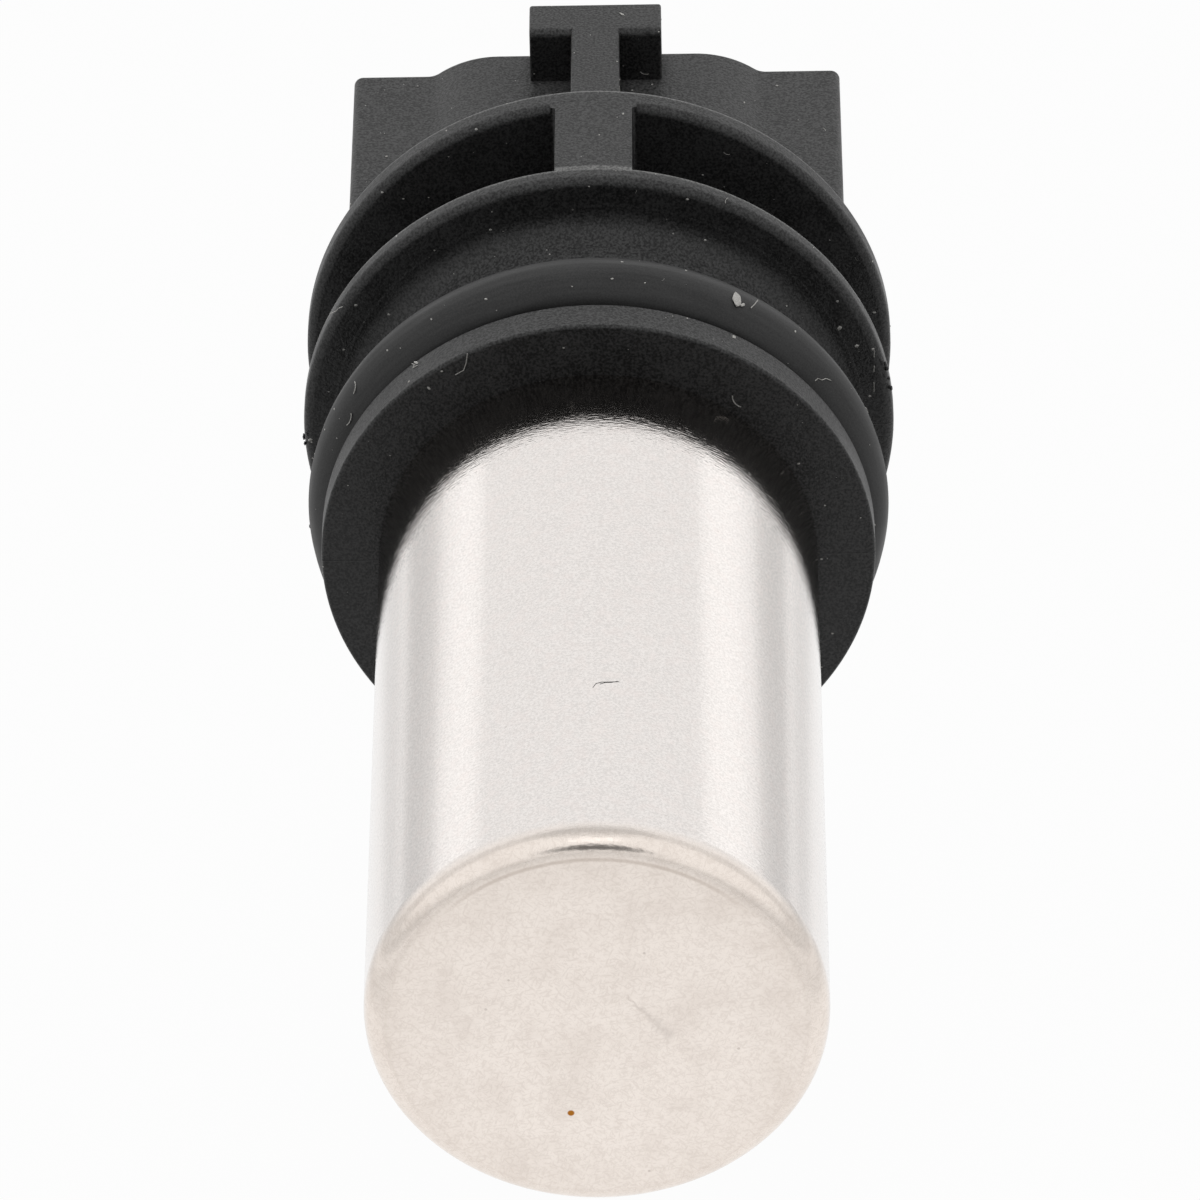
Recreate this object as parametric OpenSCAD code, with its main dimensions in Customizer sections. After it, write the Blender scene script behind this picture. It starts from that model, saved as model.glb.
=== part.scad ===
// Crankshaft position sensor: a drawn steel can with a magnet and a Hall chip behind its end,
// held in a moulded housing with a sealing ring, a mounting ear and a three-way connector.
// The sensor's axis runs along Y. The sensing face is at y = 0 and looks towards -Y,
// the connector is at the +Y end, the connector's latch is on top and the ear points down.

/* [Sensor can] */
// Outside diameter of the drawn steel can
can_d = 18.55; // [17.5:0.05:20]
// Sheet thickness of the can
can_wall = 0.5; // [0.3:0.05:0.7]
// Length of the can in front of the front collar
can_reach = 32.53; // [30:0.01:45]
// Outside radius around the can's closed end
can_edge_r = 1.0; // [0.8:0.1:2]
// Depth of the can's open end in the front collar
can_seat = 1.0; // [0.5:0.1:1.2]
// Length of the housing's spigot inside the can
spigot_len = 3; // [2:0.5:5]

/* [Housing collars] */
// Diameter of the front collar
front_collar_d = 23.46; // [22:0.02:24.5]
// Thickness of the front collar
front_collar_t = 1.69; // [1.5:0.01:3]
// Diameter of the land that carries the sealing ring
seal_land_d = 18.3; // [16:0.1:19]
// Width of the seal groove between the front collar and the seat collar
seal_groove_w = 7.84; // [6:0.02:12]
// Radius of the fillet where the seat collar meets the land
seat_root_r = 2.2; // [1.2:0.1:2.6]
// Diameter of the seat collar, which stops on the engine's face, and of the rear collar
seat_collar_d = 25.46; // [24.6:0.02:28]
// Thickness of the seat collar
seat_collar_t = 1.22; // [1:0.02:2]
// Thickness of the flange from the seat face to its rear face
flange_t = 7.5; // [6:0.1:10]
// Thickness of the rear collar
rear_collar_t = 1.3; // [1:0.1:2]
// Diameter of the core between the seat collar and the rear collar
core_d = 18.4; // [17.5:0.1:20]
// Width of the rib on top of the core
rib_w = 3.3; // [2:0.1:5]
// Radius of the fillets where the rib meets the rear collar
rib_fillet_r = 0.2; // [0.1:0.1:0.6]
// Radius of the collars' sharp edges
collar_edge_r = 0.15; // [0.1:0.05:0.3]
// Radius of the rear collar's soft front edge
soft_edge_r = 0.45; // [0.2:0.05:0.5]

/* [Sealing ring] */
// Thickness of the sealing ring's round section
ring_section = 3.2; // [2.4:0.1:3.6]
// Gap between the front collar and the sealing ring
ring_gap = 0.49; // [0.1:0.01:2]

/* [Mounting ear] */
// Distance from the sensor's axis to the bolt's axis
bolt_reach = 20; // [19:0.5:26]
// Bore of the steel bushing, for an M6 bolt
bolt_d = 6.5; // [5.5:0.1:7]
// Wall of the steel bushing
bush_wall = 1.25; // [1:0.05:1.5]
// Chamfer at the ends of the bushing's bore
bush_chamfer = 0.3; // [0.1:0.05:0.5]
// Width of plastic around the bushing
ear_rim = 3.2; // [2.4:0.1:4]
// Radius of the circle around the sensor's axis that the ear's sides run to
ear_root_r = 10.4; // [9.5:0.1:11.5]

/* [Connector] */
// Outside width of the connector shroud
shroud_w = 17.8; // [17:0.1:19]
// Outside height of the connector shroud
shroud_h = 14.9; // [14:0.1:16]
// Outside corner radius of the shroud
shroud_r = 4.55; // [3.5:0.05:5.5]
// Length of the shroud behind the rear collar
shroud_len = 11.34; // [9:0.02:20]
// Wall of the shroud
shroud_wall = 1.5; // [1.2:0.1:1.8]
// Depth of the socket from its mouth
socket_depth = 12; // [10:0.5:13]
// Depth of the wider step at the socket's mouth
mouth_step = 0.8; // [0.4:0.1:1.5]
// Amount by which the mouth's step is wider than the socket
mouth_relief = 0.35; // [0.2:0.05:0.5]
// Width over the two side cheeks of the shroud
cheek_w = 21.5; // [20.5:0.1:22]
// Height of the side cheeks
cheek_h = 12.9; // [11.5:0.1:13.2]
// Edge radius of the side cheeks
cheek_r = 0.4; // [0.2:0.1:0.8]
// Outer wall of the key slots in the cheeks
key_wall = 1.3; // [1:0.1:1.6]
// Height of the key slots in the cheeks
key_h = 7.6; // [5:0.1:8.5]

/* [Latch] */
// Height of the latch above the shroud's top
latch_rise = 2.55; // [1.8:0.05:3.2]
// Width of the latch bar
latch_bar_w = 5.8; // [4.5:0.1:8]
// Length of the latch bar along the connector
latch_bar_t = 2.4; // [1.6:0.1:3.5]
// Width of the stem that joins the latch bar to the rear collar
latch_stem_w = 2.12; // [1.4:0.02:3]
// Radius of the latch's upper edges
latch_edge_r = 0.25; // [0.1:0.05:0.4]

/* [Terminals] */
// Distance between neighbouring terminals
terminal_pitch = 4.5; // [4.2:0.1:4.8]
// Width of a terminal's blade in the socket
blade_w = 2.3; // [1.8:0.1:2.6]
// Thickness of a terminal's sheet
blade_t = 0.64; // [0.5:0.02:0.8]
// Free length of a blade in the socket
blade_reach = 8; // [6:0.5:9]
// Length of a blade's tapered tip
blade_taper = 1.2; // [0.6:0.1:2]
// Width of a terminal's leg inside the can
leg_w = 1.6; // [1.2:0.1:2]
// Length of a terminal's foot on the circuit board
foot_len = 2.6; // [1.6:0.1:3.5]

/* [Sensing parts] */
// Diameter of the magnet
magnet_d = 6.2; // [5:0.1:7]
// Length of the magnet
magnet_len = 5; // [3:0.5:6]
// Thickness of the steel plate in front of the magnet
flux_plate_t = 0.5; // [0.3:0.1:1]
// Width of the Hall chip
chip_w = 4.1; // [3.6:0.1:4.6]
// Height of the Hall chip
chip_h = 3; // [2.6:0.1:3.6]
// Thickness of the Hall chip
chip_t = 1.5; // [1.2:0.1:2]
// Distance between neighbouring leads of the Hall chip
lead_pitch = 1.27; // [1:0.01:1.4]
// Width of a lead
lead_w = 0.42; // [0.3:0.02:0.5]
// Thickness of a lead
lead_t = 0.25; // [0.2:0.01:0.4]
// Length of a lead on the circuit board
lead_foot = 2.2; // [1.2:0.1:3]
// Length of plastic behind the magnet in the holder
holder_tail = 2.4; // [1.5:0.1:4]
// Wall of the holder between the magnet and the leads
lead_cover = 0.5; // [0.4:0.05:1]

/* [Circuit board] */
// Thickness of the circuit board
board_t = 1; // [0.8:0.1:1.6]
// Gap beside the circuit board, on the holder's deck
board_side_gap = 0.8; // [0.5:0.1:1.2]
// Length of a chip capacitor or resistor
smd_len = 2; // [1.6:0.1:2.4]
// Width of a chip capacitor or resistor
smd_w = 1.25; // [0.8:0.05:1.6]
// Height of a chip capacitor
capacitor_h = 1.2; // [0.8:0.1:1.6]
// Height of a chip resistor
resistor_h = 0.5; // [0.4:0.1:0.8]
// Distance between the rows of chip parts
smd_pitch = 3; // [2:0.1:3.4]

/* [Clearances] */
// Radial clearance of pressed and moulded joints
press_gap = 0.02; // [0.01:0.01:0.05]
// Clearance of the loose parts inside the can
slip_gap = 0.08; // [0.05:0.01:0.15]

/* [Hidden] */

// Smoothness of round shapes
$fn = 96;
// Overlap that makes cuts and joins clean
join = 0.5;
// Share of a blade's width and thickness that is left at its tip
tip_share = 0.4;

// Stations along the sensor's axis
front_y = can_reach;
collar_y = front_y + front_collar_t;
seat_y = collar_y + seal_groove_w;
seat_rear_y = seat_y + seat_collar_t;
rear_y = seat_y + flange_t;
rear_front_y = rear_y - rear_collar_t;
mouth_y = rear_y + shroud_len;
floor_y = mouth_y - socket_depth;
spigot_y = front_y - spigot_len;

// Radii around the sensor's axis
can_r = can_d / 2;
can_bore_r = can_r - can_wall;
spigot_r = can_bore_r - press_gap;
holder_r = can_bore_r - slip_gap;
land_r = seal_land_d / 2;
seat_r = seat_collar_d / 2;
core_r = core_d / 2;
ring_r = ring_section / 2;
bush_r = bolt_d / 2 + bush_wall;
ear_r = bush_r + ear_rim;

// The ear's straight sides touch the root circle and the round end
ear_lean = (ear_root_r - ear_r) / bolt_reach;
ear_side = [sqrt(1 - ear_lean * ear_lean), -ear_lean];

// Socket and latch
socket_w = shroud_w - 2 * shroud_wall;
socket_h = shroud_h - 2 * shroud_wall;
socket_r = shroud_r - shroud_wall;
key_w = cheek_w - 2 * key_wall;
latch_top = shroud_h / 2 + latch_rise;
latch_y = mouth_y - latch_bar_t;

// Stations and heights of the parts inside the can
holder_y = can_wall + slip_gap;
plate_y = holder_y + chip_t;
magnet_y = plate_y + flux_plate_t;
deck_y = magnet_y + magnet_len + holder_tail;
pocket_r = magnet_d / 2 + slip_gap;
lead_y = holder_y + (chip_t - lead_t) / 2;
board_y = deck_y + slip_gap;
board_end_y = spigot_y - slip_gap;
board_top = -(pocket_r + lead_cover + slip_gap + lead_t);
deck_z = board_top - board_t;
board_w = 2 * (sqrt(holder_r * holder_r - deck_z * deck_z) - board_side_gap);
leg_y = board_end_y - slip_gap - blade_t;
smd_y = (deck_y + lead_foot + leg_y - foot_len) / 2;

PLASTIC = "#2c2c2d";
HOLDER_PLASTIC = "#5b5d5a";
STEEL = "#c3c5c8";
RUBBER = "#3b3b3d";
ZINC_STEEL = "#a9abae";
TIN = "#c9c6bd";

// Spins an outline whose points are radius and station around the sensor's axis
module around_axis() {
    rotate([-90, 0, 0]) rotate_extrude() children();
}

// Extrudes an outline drawn in x and z from station y0 to station y1
module along_axis(y0, y1) {
    translate([0, y1, 0]) rotate([90, 0, 0]) linear_extrude(y1 - y0) children();
}

// Extrudes an outline drawn in y and z to a width, centred at x
module across_axis(x, width) {
    translate([x - width / 2, 0, 0]) rotate([90, 0, 90]) linear_extrude(width) children();
}

// Rectangle from a0 to a1 along the outline's first axis and from b0 to b1 along its second
module band(a0, a1, b0, b1) {
    translate([a0, b0]) square([a1 - a0, b1 - b0]);
}

// Section of a collar with rounded outer edges, front radius first
module collar_section(radius, y0, y1, front_edge, rear_edge) {
    band(0, radius - max(front_edge, rear_edge), y0, y1);
    band(0, radius, y0 + front_edge, y1 - rear_edge);
    translate([radius - front_edge, y0 + front_edge]) circle(front_edge);
    translate([radius - rear_edge, y1 - rear_edge]) circle(rear_edge);
    band(0, radius - front_edge, y0, y0 + front_edge);
    band(0, radius - rear_edge, y1 - rear_edge, y1);
}

// Rectangle with round corners, centred on the axis
module round_rect(width, height, corner) {
    square([width - 2 * corner, height], center = true);
    square([width, height - 2 * corner], center = true);
    for (sx = [-1, 1], sz = [-1, 1])
        translate([sx * (width / 2 - corner), sz * (height / 2 - corner)]) circle(corner);
}

// Section of the housing's round body
module body_section() {
    difference() {
        union() {
            band(0, spigot_r, spigot_y, front_y + join);
            collar_section(front_collar_d / 2, front_y, collar_y, collar_edge_r, collar_edge_r);
            band(0, land_r, front_y, seat_y + join);
            difference() {
                band(0, land_r + seat_root_r, seat_y - seat_root_r, seat_y + join);
                translate([land_r + seat_root_r, seat_y - seat_root_r]) circle(seat_root_r);
            }
            collar_section(seat_r, seat_y, seat_rear_y, collar_edge_r, collar_edge_r);
            band(0, core_r, seat_y, rear_y);
            collar_section(seat_r, rear_front_y, rear_y, soft_edge_r, collar_edge_r);
        }
        band(spigot_r, can_r + press_gap, front_y - join, front_y + can_seat + press_gap);
    }
}

// Rib on top of the core, with fillets where it meets the rear collar
module top_rib() {
    intersection() {
        translate([0, 0, core_r - join]) linear_extrude(seat_r) {
            translate([-rib_w / 2, seat_rear_y - join])
                square([rib_w, rear_front_y - seat_rear_y + 2 * join]);
            for (side = [-1, 1]) difference() {
                translate([side * (rib_w + rib_fillet_r) / 2, rear_front_y - rib_fillet_r / 2])
                    square(rib_fillet_r, center = true);
                translate([side * (rib_w / 2 + rib_fillet_r), rear_front_y - rib_fillet_r])
                    circle(rib_fillet_r);
            }
        }
        around_axis() band(0, seat_r, seat_y, rear_y);
    }
}

// Outline of the ear: a round end joined to the root circle by straight sides
module ear_outline() {
    bolt_place = [0, -bolt_reach];
    far_side = [-ear_side[0], ear_side[1]];
    translate(bolt_place) circle(ear_r);
    polygon([
        ear_root_r * ear_side, bolt_place + ear_r * ear_side,
        bolt_place + ear_r * far_side, ear_root_r * far_side
    ]);
}

// Latch on top of the shroud: a bar across the mouth and a stem to the rear collar
module latch() {
    translate([0, 0, shroud_h / 2 - shroud_wall / 2]) {
        along_axis(latch_y, mouth_y) rounded_top(latch_bar_w, latch_rise + shroud_wall / 2);
        along_axis(rear_y - join, latch_y + join) rounded_top(latch_stem_w, latch_rise + shroud_wall / 2);
    }
}

// Upright bar section with round upper corners
module rounded_top(width, height) {
    translate([-width / 2, 0]) square([width, height - latch_edge_r]);
    translate([latch_edge_r - width / 2, 0]) square([width - 2 * latch_edge_r, height]);
    for (side = [-1, 1])
        translate([side * (width / 2 - latch_edge_r), height - latch_edge_r]) circle(latch_edge_r);
}

// Socket for the harness plug, with a wider mouth and a key slot in each cheek
module socket() {
    along_axis(floor_y, mouth_y + join) round_rect(socket_w, socket_h, socket_r);
    along_axis(mouth_y - mouth_step, mouth_y + join)
        round_rect(socket_w + 2 * mouth_relief, socket_h + 2 * mouth_relief, socket_r + mouth_relief);
    along_axis(rear_y, mouth_y + join) square([key_w, key_h], center = true);
}

// One terminal at a place in the row: a tapered blade, bent down to a foot on the circuit board
module terminal(place) {
    tip_y = floor_y + blade_reach;
    taper_y = tip_y - blade_taper;
    foot_y = leg_y - foot_len;
    x = place * terminal_pitch;
    half_w = blade_w / 2;
    half_t = blade_t / 2;
    color(TIN) intersection() {
        across_axis(x, blade_w) polygon([
            [foot_y, board_top], [leg_y + blade_t, board_top], [leg_y + blade_t, -half_t],
            [taper_y, -half_t], [tip_y, -half_t * tip_share], [tip_y, half_t * tip_share],
            [taper_y, half_t], [leg_y, half_t], [leg_y, board_top + blade_t], [foot_y, board_top + blade_t]
        ]);
        translate([x, 0, board_top - join]) linear_extrude(blade_t - board_top + 2 * join) polygon([
            [-leg_w / 2, foot_y], [-leg_w / 2, front_y], [-half_w, front_y], [-half_w, taper_y],
            [-half_w * tip_share, tip_y], [half_w * tip_share, tip_y], [half_w, taper_y],
            [half_w, front_y], [leg_w / 2, front_y], [leg_w / 2, foot_y]
        ]);
    }
}

// Room that a terminal takes up in the resin
module terminal_room(place) {
    across_axis(place * terminal_pitch, leg_w + 2 * press_gap) {
        band(leg_y - press_gap, front_y, -blade_t / 2 - press_gap, blade_t / 2 + press_gap);
        band(leg_y - press_gap, leg_y + blade_t + press_gap, deck_z, blade_t / 2);
        band(leg_y - foot_len - press_gap, leg_y, deck_z, board_top + blade_t + press_gap);
    }
}

// Slot that a terminal fills in the housing, narrow around its leg and wide around its blade
module terminal_slot(place) {
    x = place * terminal_pitch;
    low = -blade_t / 2 - press_gap;
    high = blade_t / 2 + press_gap;
    across_axis(x, leg_w + 2 * press_gap) band(spigot_y - join, front_y + join, low, high);
    across_axis(x, blade_w + 2 * press_gap) band(front_y - press_gap, floor_y + join, low, high);
}

// Side profile of a lead: down from the chip, then back to the circuit board
module lead_profile(gap) {
    band(lead_y - gap, lead_y + lead_t + gap, board_top - gap, -chip_h / 2);
    band(lead_y - gap, board_y + lead_foot + gap, board_top - gap, board_top + lead_t + gap);
}

// One lead of the Hall chip at a place in the row
module hall_lead(place) {
    color(TIN) across_axis(place * lead_pitch, lead_w) lead_profile(0);
}

// One chip part on the circuit board, in a row of three
module board_chip(place, height) {
    translate([place * smd_pitch - smd_w / 2, smd_y - smd_len / 2, board_top])
        cube([smd_w, smd_len, height]);
}

module housing() {
    color(PLASTIC) difference() {
        union() {
            around_axis() body_section();
            top_rib();
            along_axis(seat_y, rear_y) ear_outline();
            along_axis(rear_y - join, mouth_y) {
                round_rect(shroud_w, shroud_h, shroud_r);
                round_rect(cheek_w, cheek_h, cheek_r);
            }
            latch();
        }
        socket();
        translate([0, seat_y - join, -bolt_reach]) rotate([-90, 0, 0])
            cylinder(r = bush_r + press_gap, h = flange_t + 2 * join);
        for (place = [-1, 0, 1]) terminal_slot(place);
    }
}

module sensor_can() {
    inner_edge_r = can_edge_r - can_wall;
    mouth = front_y + can_seat;
    color(STEEL) around_axis() difference() {
        union() {
            band(0, can_r, can_edge_r, mouth);
            band(0, can_r - can_edge_r, 0, mouth);
            translate([can_r - can_edge_r, can_edge_r]) intersection() {
                circle(can_edge_r);
                translate([0, -can_edge_r]) square(can_edge_r);
            }
        }
        band(0, can_bore_r, can_edge_r, mouth + join);
        band(0, can_r - can_edge_r, can_wall, mouth + join);
        translate([can_r - can_edge_r, can_edge_r]) intersection() {
            circle(inner_edge_r);
            translate([0, -can_edge_r]) square(can_edge_r);
        }
    }
}

module o_ring() {
    color(RUBBER) around_axis()
        translate([land_r + press_gap + ring_r, collar_y + ring_gap + ring_r]) circle(ring_r);
}

module bolt_bushing() {
    bore_r = bolt_d / 2;
    color(ZINC_STEEL) translate([0, 0, -bolt_reach]) around_axis() polygon([
        [bore_r + bush_chamfer, seat_y], [bush_r, seat_y], [bush_r, rear_y], [bore_r + bush_chamfer, rear_y],
        [bore_r, rear_y - bush_chamfer], [bore_r, seat_y + bush_chamfer]
    ]);
}

module terminal_supply() {
    terminal(-1);
}

module terminal_ground() {
    terminal(0);
}

module terminal_output() {
    terminal(1);
}

module element_holder() {
    color(HOLDER_PLASTIC) difference() {
        around_axis() {
            nose_r = holder_r - can_edge_r;
            band(0, nose_r, holder_y, spigot_y - slip_gap);
            band(0, holder_r, can_edge_r + slip_gap, spigot_y - slip_gap);
        }
        translate([-can_d, deck_y, deck_z]) cube([2 * can_d, can_reach, can_d]);
        around_axis() band(0, pocket_r, plate_y, deck_y + join);
        translate([-chip_w / 2 - slip_gap, holder_y - join, -chip_h / 2 - slip_gap])
            cube([chip_w + 2 * slip_gap, chip_t + join, chip_h + 2 * slip_gap]);
        for (place = [-1, 0, 1])
            across_axis(place * lead_pitch, lead_w + 2 * slip_gap) {
                lead_profile(slip_gap);
                band(holder_y - join, lead_y, board_top - slip_gap, -chip_h / 2);
            }
    }
}

module hall_chip() {
    color("#1d1d1e") translate([-chip_w / 2, holder_y, -chip_h / 2]) cube([chip_w, chip_t, chip_h]);
}

module flux_plate() {
    color(ZINC_STEEL) around_axis() band(0, magnet_d / 2, plate_y, magnet_y);
}

module magnet() {
    color("#55585c") around_axis() band(0, magnet_d / 2, magnet_y, magnet_y + magnet_len);
}

module hall_lead_supply() {
    hall_lead(-1);
}

module hall_lead_ground() {
    hall_lead(0);
}

module hall_lead_output() {
    hall_lead(1);
}

module circuit_board() {
    color("#1f5a35") translate([-board_w / 2, board_y, deck_z])
        cube([board_w, board_end_y - board_y, board_t]);
}

module supply_capacitor() {
    color("#a08a6a") board_chip(-1, capacitor_h);
}

module output_capacitor() {
    color("#a08a6a") board_chip(0, capacitor_h);
}

module output_resistor() {
    color("#222326") board_chip(1, resistor_h);
}

// Resin that fills the can above the holder's deck and behind the magnet
module potting() {
    color("#3d3a33") difference() {
        union() {
            intersection() {
                around_axis() band(0, spigot_r, deck_y + press_gap, spigot_y - press_gap);
                translate([-can_d, 0, deck_z + press_gap]) cube([2 * can_d, can_reach, can_d]);
            }
            around_axis() band(0, magnet_d / 2, magnet_y + magnet_len, deck_y + join);
        }
        translate([-board_w / 2 - press_gap, board_y - join, deck_z - join])
            cube([board_w + 2 * press_gap, can_reach, board_t + join]);
        for (place = [-1, 0, 1]) {
            terminal_room(place);
            across_axis(place * lead_pitch, lead_w + 2 * press_gap) lead_profile(press_gap);
        }
        for (place = [-1, 0])
            board_chip(place, capacitor_h);
        board_chip(1, resistor_h);
    }
}

housing();
sensor_can();
o_ring();
bolt_bushing();
terminal_supply();
terminal_ground();
terminal_output();
element_holder();
hall_chip();
flux_plate();
magnet();
hall_lead_supply();
hall_lead_ground();
hall_lead_output();
circuit_board();
supply_capacitor();
output_capacitor();
output_resistor();
potting();
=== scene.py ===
"""Crankshaft position sensor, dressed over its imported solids.

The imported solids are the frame. The housing, the can, the sealing ring, the bushing and the terminals get
finished meshes in their place, and the parts inside the can keep their solids and get their own finishes.
Lengths are written in millimetres and turned into metres when a mesh is finished.
"""
import logging
import math
from contextlib import contextmanager
from dataclasses import dataclass
from enum import Enum
from functools import reduce
from typing import Any, Iterable, Iterator, Optional, Sequence

import bmesh
import bpy
from mathutils import Matrix, Vector


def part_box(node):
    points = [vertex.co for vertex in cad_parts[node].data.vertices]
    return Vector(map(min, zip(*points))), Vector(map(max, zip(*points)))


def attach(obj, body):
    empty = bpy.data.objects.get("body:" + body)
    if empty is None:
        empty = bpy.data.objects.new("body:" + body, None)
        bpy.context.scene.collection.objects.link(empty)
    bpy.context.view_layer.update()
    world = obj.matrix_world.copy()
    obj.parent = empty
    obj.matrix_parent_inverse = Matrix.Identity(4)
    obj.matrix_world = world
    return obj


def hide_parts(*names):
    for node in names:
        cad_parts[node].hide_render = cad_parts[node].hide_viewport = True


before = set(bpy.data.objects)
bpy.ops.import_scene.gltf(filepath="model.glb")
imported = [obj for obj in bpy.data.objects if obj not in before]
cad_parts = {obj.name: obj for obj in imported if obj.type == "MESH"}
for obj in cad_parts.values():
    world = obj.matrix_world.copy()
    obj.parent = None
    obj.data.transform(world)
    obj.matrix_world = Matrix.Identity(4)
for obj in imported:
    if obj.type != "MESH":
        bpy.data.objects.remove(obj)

LOG = logging.getLogger("crank_sensor")
MM = 0.001
BODY = "root"
TERMINALS = ("supply", "ground", "output")

Mesh = bpy.types.Mesh
Socket = bpy.types.NodeSocket
Inputs = dict[Any, Any]
Point = tuple[float, float]
Triple = tuple[float, float, float]


class Facing(Enum):
    """Axis along which an outline is extruded, as its number in x, y and z."""

    ACROSS = 0
    ALONG = 1
    UPRIGHT = 2


class Joint(Enum):
    """How one closed mesh is combined with another."""

    ADD = "UNION"
    CUT = "DIFFERENCE"
    COMMON = "INTERSECT"


def grey(level: float) -> Triple:
    """Give a neutral colour of one level."""
    return (level, level, level)


def arc(centre: Point, radius: float, start: float, end: float, steps: int) -> list[Point]:
    """Place points along an arc.

    Args:
        centre: Middle of the arc.
        radius: Radius of the arc.
        start: First angle, in degrees.
        end: Last angle, in degrees.
        steps: Number of straight steps.

    Returns:
        The arc's points, both ends included.
    """
    angles = [math.radians(start + (end - start) * i / steps) for i in range(steps + 1)]
    return [(centre[0] + radius * math.cos(a), centre[1] + radius * math.sin(a)) for a in angles]


def rect(left: float, right: float, low: float, high: float) -> list[Point]:
    """Outline a plain rectangle, anticlockwise."""
    return [(left, low), (right, low), (right, high), (left, high)]


def round_rect(width: float, height: float, corner: float, steps: int = 12) -> list[Point]:
    """Outline a rectangle with round corners around the origin.

    Args:
        width: Whole width.
        height: Whole height.
        corner: Corner radius.
        steps: Steps in each corner.

    Returns:
        The outline's points, anticlockwise.
    """
    x, z = width / 2 - corner, height / 2 - corner
    points: list[Point] = []
    for centre, start in (((x, z), 0), ((-x, z), 90), ((-x, -z), 180), ((x, -z), 270)):
        points += arc(centre, corner, start, start + 90, steps)
    return points


def lathe(outline: Sequence[Point], steps: int = 256) -> Mesh:
    """Turn an outline around the sensor's axis.

    Args:
        outline: Points of radius and station, from the axis back to the axis or closed in itself.
        steps: Steps around the axis.

    Returns:
        A closed mesh, in millimetres.
    """
    shell = bmesh.new()
    turns = [2 * math.pi * i / steps for i in range(steps)]
    rings: list[list[bmesh.types.BMVert]] = []
    for radius, station in outline:
        around = turns if radius > 1e-6 else [0.0]
        spots = [(radius * math.sin(a), station, radius * math.cos(a)) for a in around]
        rings.append([shell.verts.new(spot) for spot in spots])
    pairs = list(zip(rings, rings[1:]))
    if len(rings[0]) > 1:
        pairs.append((rings[-1], rings[0]))
    for one, two in pairs:
        for i in range(steps):
            j = (i + 1) % steps
            corners = [one[i % len(one)], one[j % len(one)], two[j % len(two)], two[i % len(two)]]
            shell.faces.new(list(dict.fromkeys(corners)))
    return closed_mesh(shell)


def prism(outline: Sequence[Point], low: float, high: float, facing: Facing = Facing.ALONG) -> Mesh:
    """Extrude an outline.

    Args:
        outline: Points in the two axes that are left, in their order.
        low: Where the extrusion starts.
        high: Where it ends.
        facing: Axis of the extrusion.

    Returns:
        A closed mesh, in millimetres.
    """
    shell = bmesh.new()
    axis, count = facing.value, len(outline)
    ends = [[shell.verts.new((*p[:axis], depth, *p[axis:])) for p in outline] for depth in (low, high)]
    for end in ends:
        shell.faces.new(end)
    for i in range(count):
        j = (i + 1) % count
        shell.faces.new((ends[0][i], ends[0][j], ends[1][j], ends[1][i]))
    return closed_mesh(shell)


def closed_mesh(shell: bmesh.types.BMesh) -> Mesh:
    """Turn a closed shell's faces outwards and make it a mesh. The shell is used up."""
    bmesh.ops.recalc_face_normals(shell, faces=shell.faces)
    mesh = bpy.data.meshes.new("shell")
    shell.to_mesh(mesh)
    shell.free()
    return mesh


@contextmanager
def editing(mesh: Mesh) -> Iterator[bmesh.types.BMesh]:
    """Open a mesh as a shell and write the shell back at the end."""
    shell = bmesh.new()
    shell.from_mesh(mesh)
    yield shell
    shell.to_mesh(mesh)
    shell.free()


def ease_edges(
    mesh: Mesh, width: float, segments: int = 3, beyond: float = -math.inf, sharper_than: float = 30.0,
) -> Mesh:
    """Round the sharp edges of a mesh.

    Args:
        mesh: The mesh, which is changed.
        width: Width of the rounding.
        segments: Steps of the rounding.
        beyond: Station behind which the edges lie.
        sharper_than: Smallest angle between two faces that counts as sharp, in degrees.

    Returns:
        The same mesh.
    """
    limit = math.radians(sharper_than)
    with editing(mesh) as shell:
        sharp = [e for e in shell.edges if e.calc_face_angle(0.0) > limit]
        edges = [e for e in sharp if all(v.co.y >= beyond for v in e.verts)]
        bmesh.ops.bevel(
            shell, geom=edges, offset=width, offset_type="OFFSET", segments=segments,
            profile=0.5, affect="EDGES", clamp_overlap=True,
        )
    return mesh


def in_scene(name: str, data: Any) -> bpy.types.Object:
    """Make an object of a mesh, a lamp or a camera and link it into the scene."""
    piece = bpy.data.objects.new(name, data)
    bpy.context.scene.collection.objects.link(piece)
    return piece


def combine(base: Mesh, tool: Mesh, joint: Joint) -> Mesh:
    """Join, cut or intersect two closed meshes.

    Args:
        base: First mesh, which is used up.
        tool: Second mesh, which is used up.
        joint: How they are combined.

    Returns:
        The combined mesh.
    """
    pieces = [in_scene("base", base), in_scene("tool", tool)]
    step = pieces[0].modifiers.new("joint", "BOOLEAN")
    step.operation = joint.value
    step.solver = "MANIFOLD"
    step.object = pieces[1]
    mesh = evaluated_mesh(pieces[0])
    for piece in pieces:
        bpy.data.objects.remove(piece)
    for used in (base, tool):
        bpy.data.meshes.remove(used)
    return mesh


def evaluated_mesh(piece: bpy.types.Object) -> Mesh:
    """Make a plain mesh of an object with its modifiers applied."""
    graph = bpy.context.evaluated_depsgraph_get()
    graph.update()
    return bpy.data.meshes.new_from_object(
        piece.evaluated_get(graph), preserve_all_data_layers=True, depsgraph=graph
    )


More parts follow.
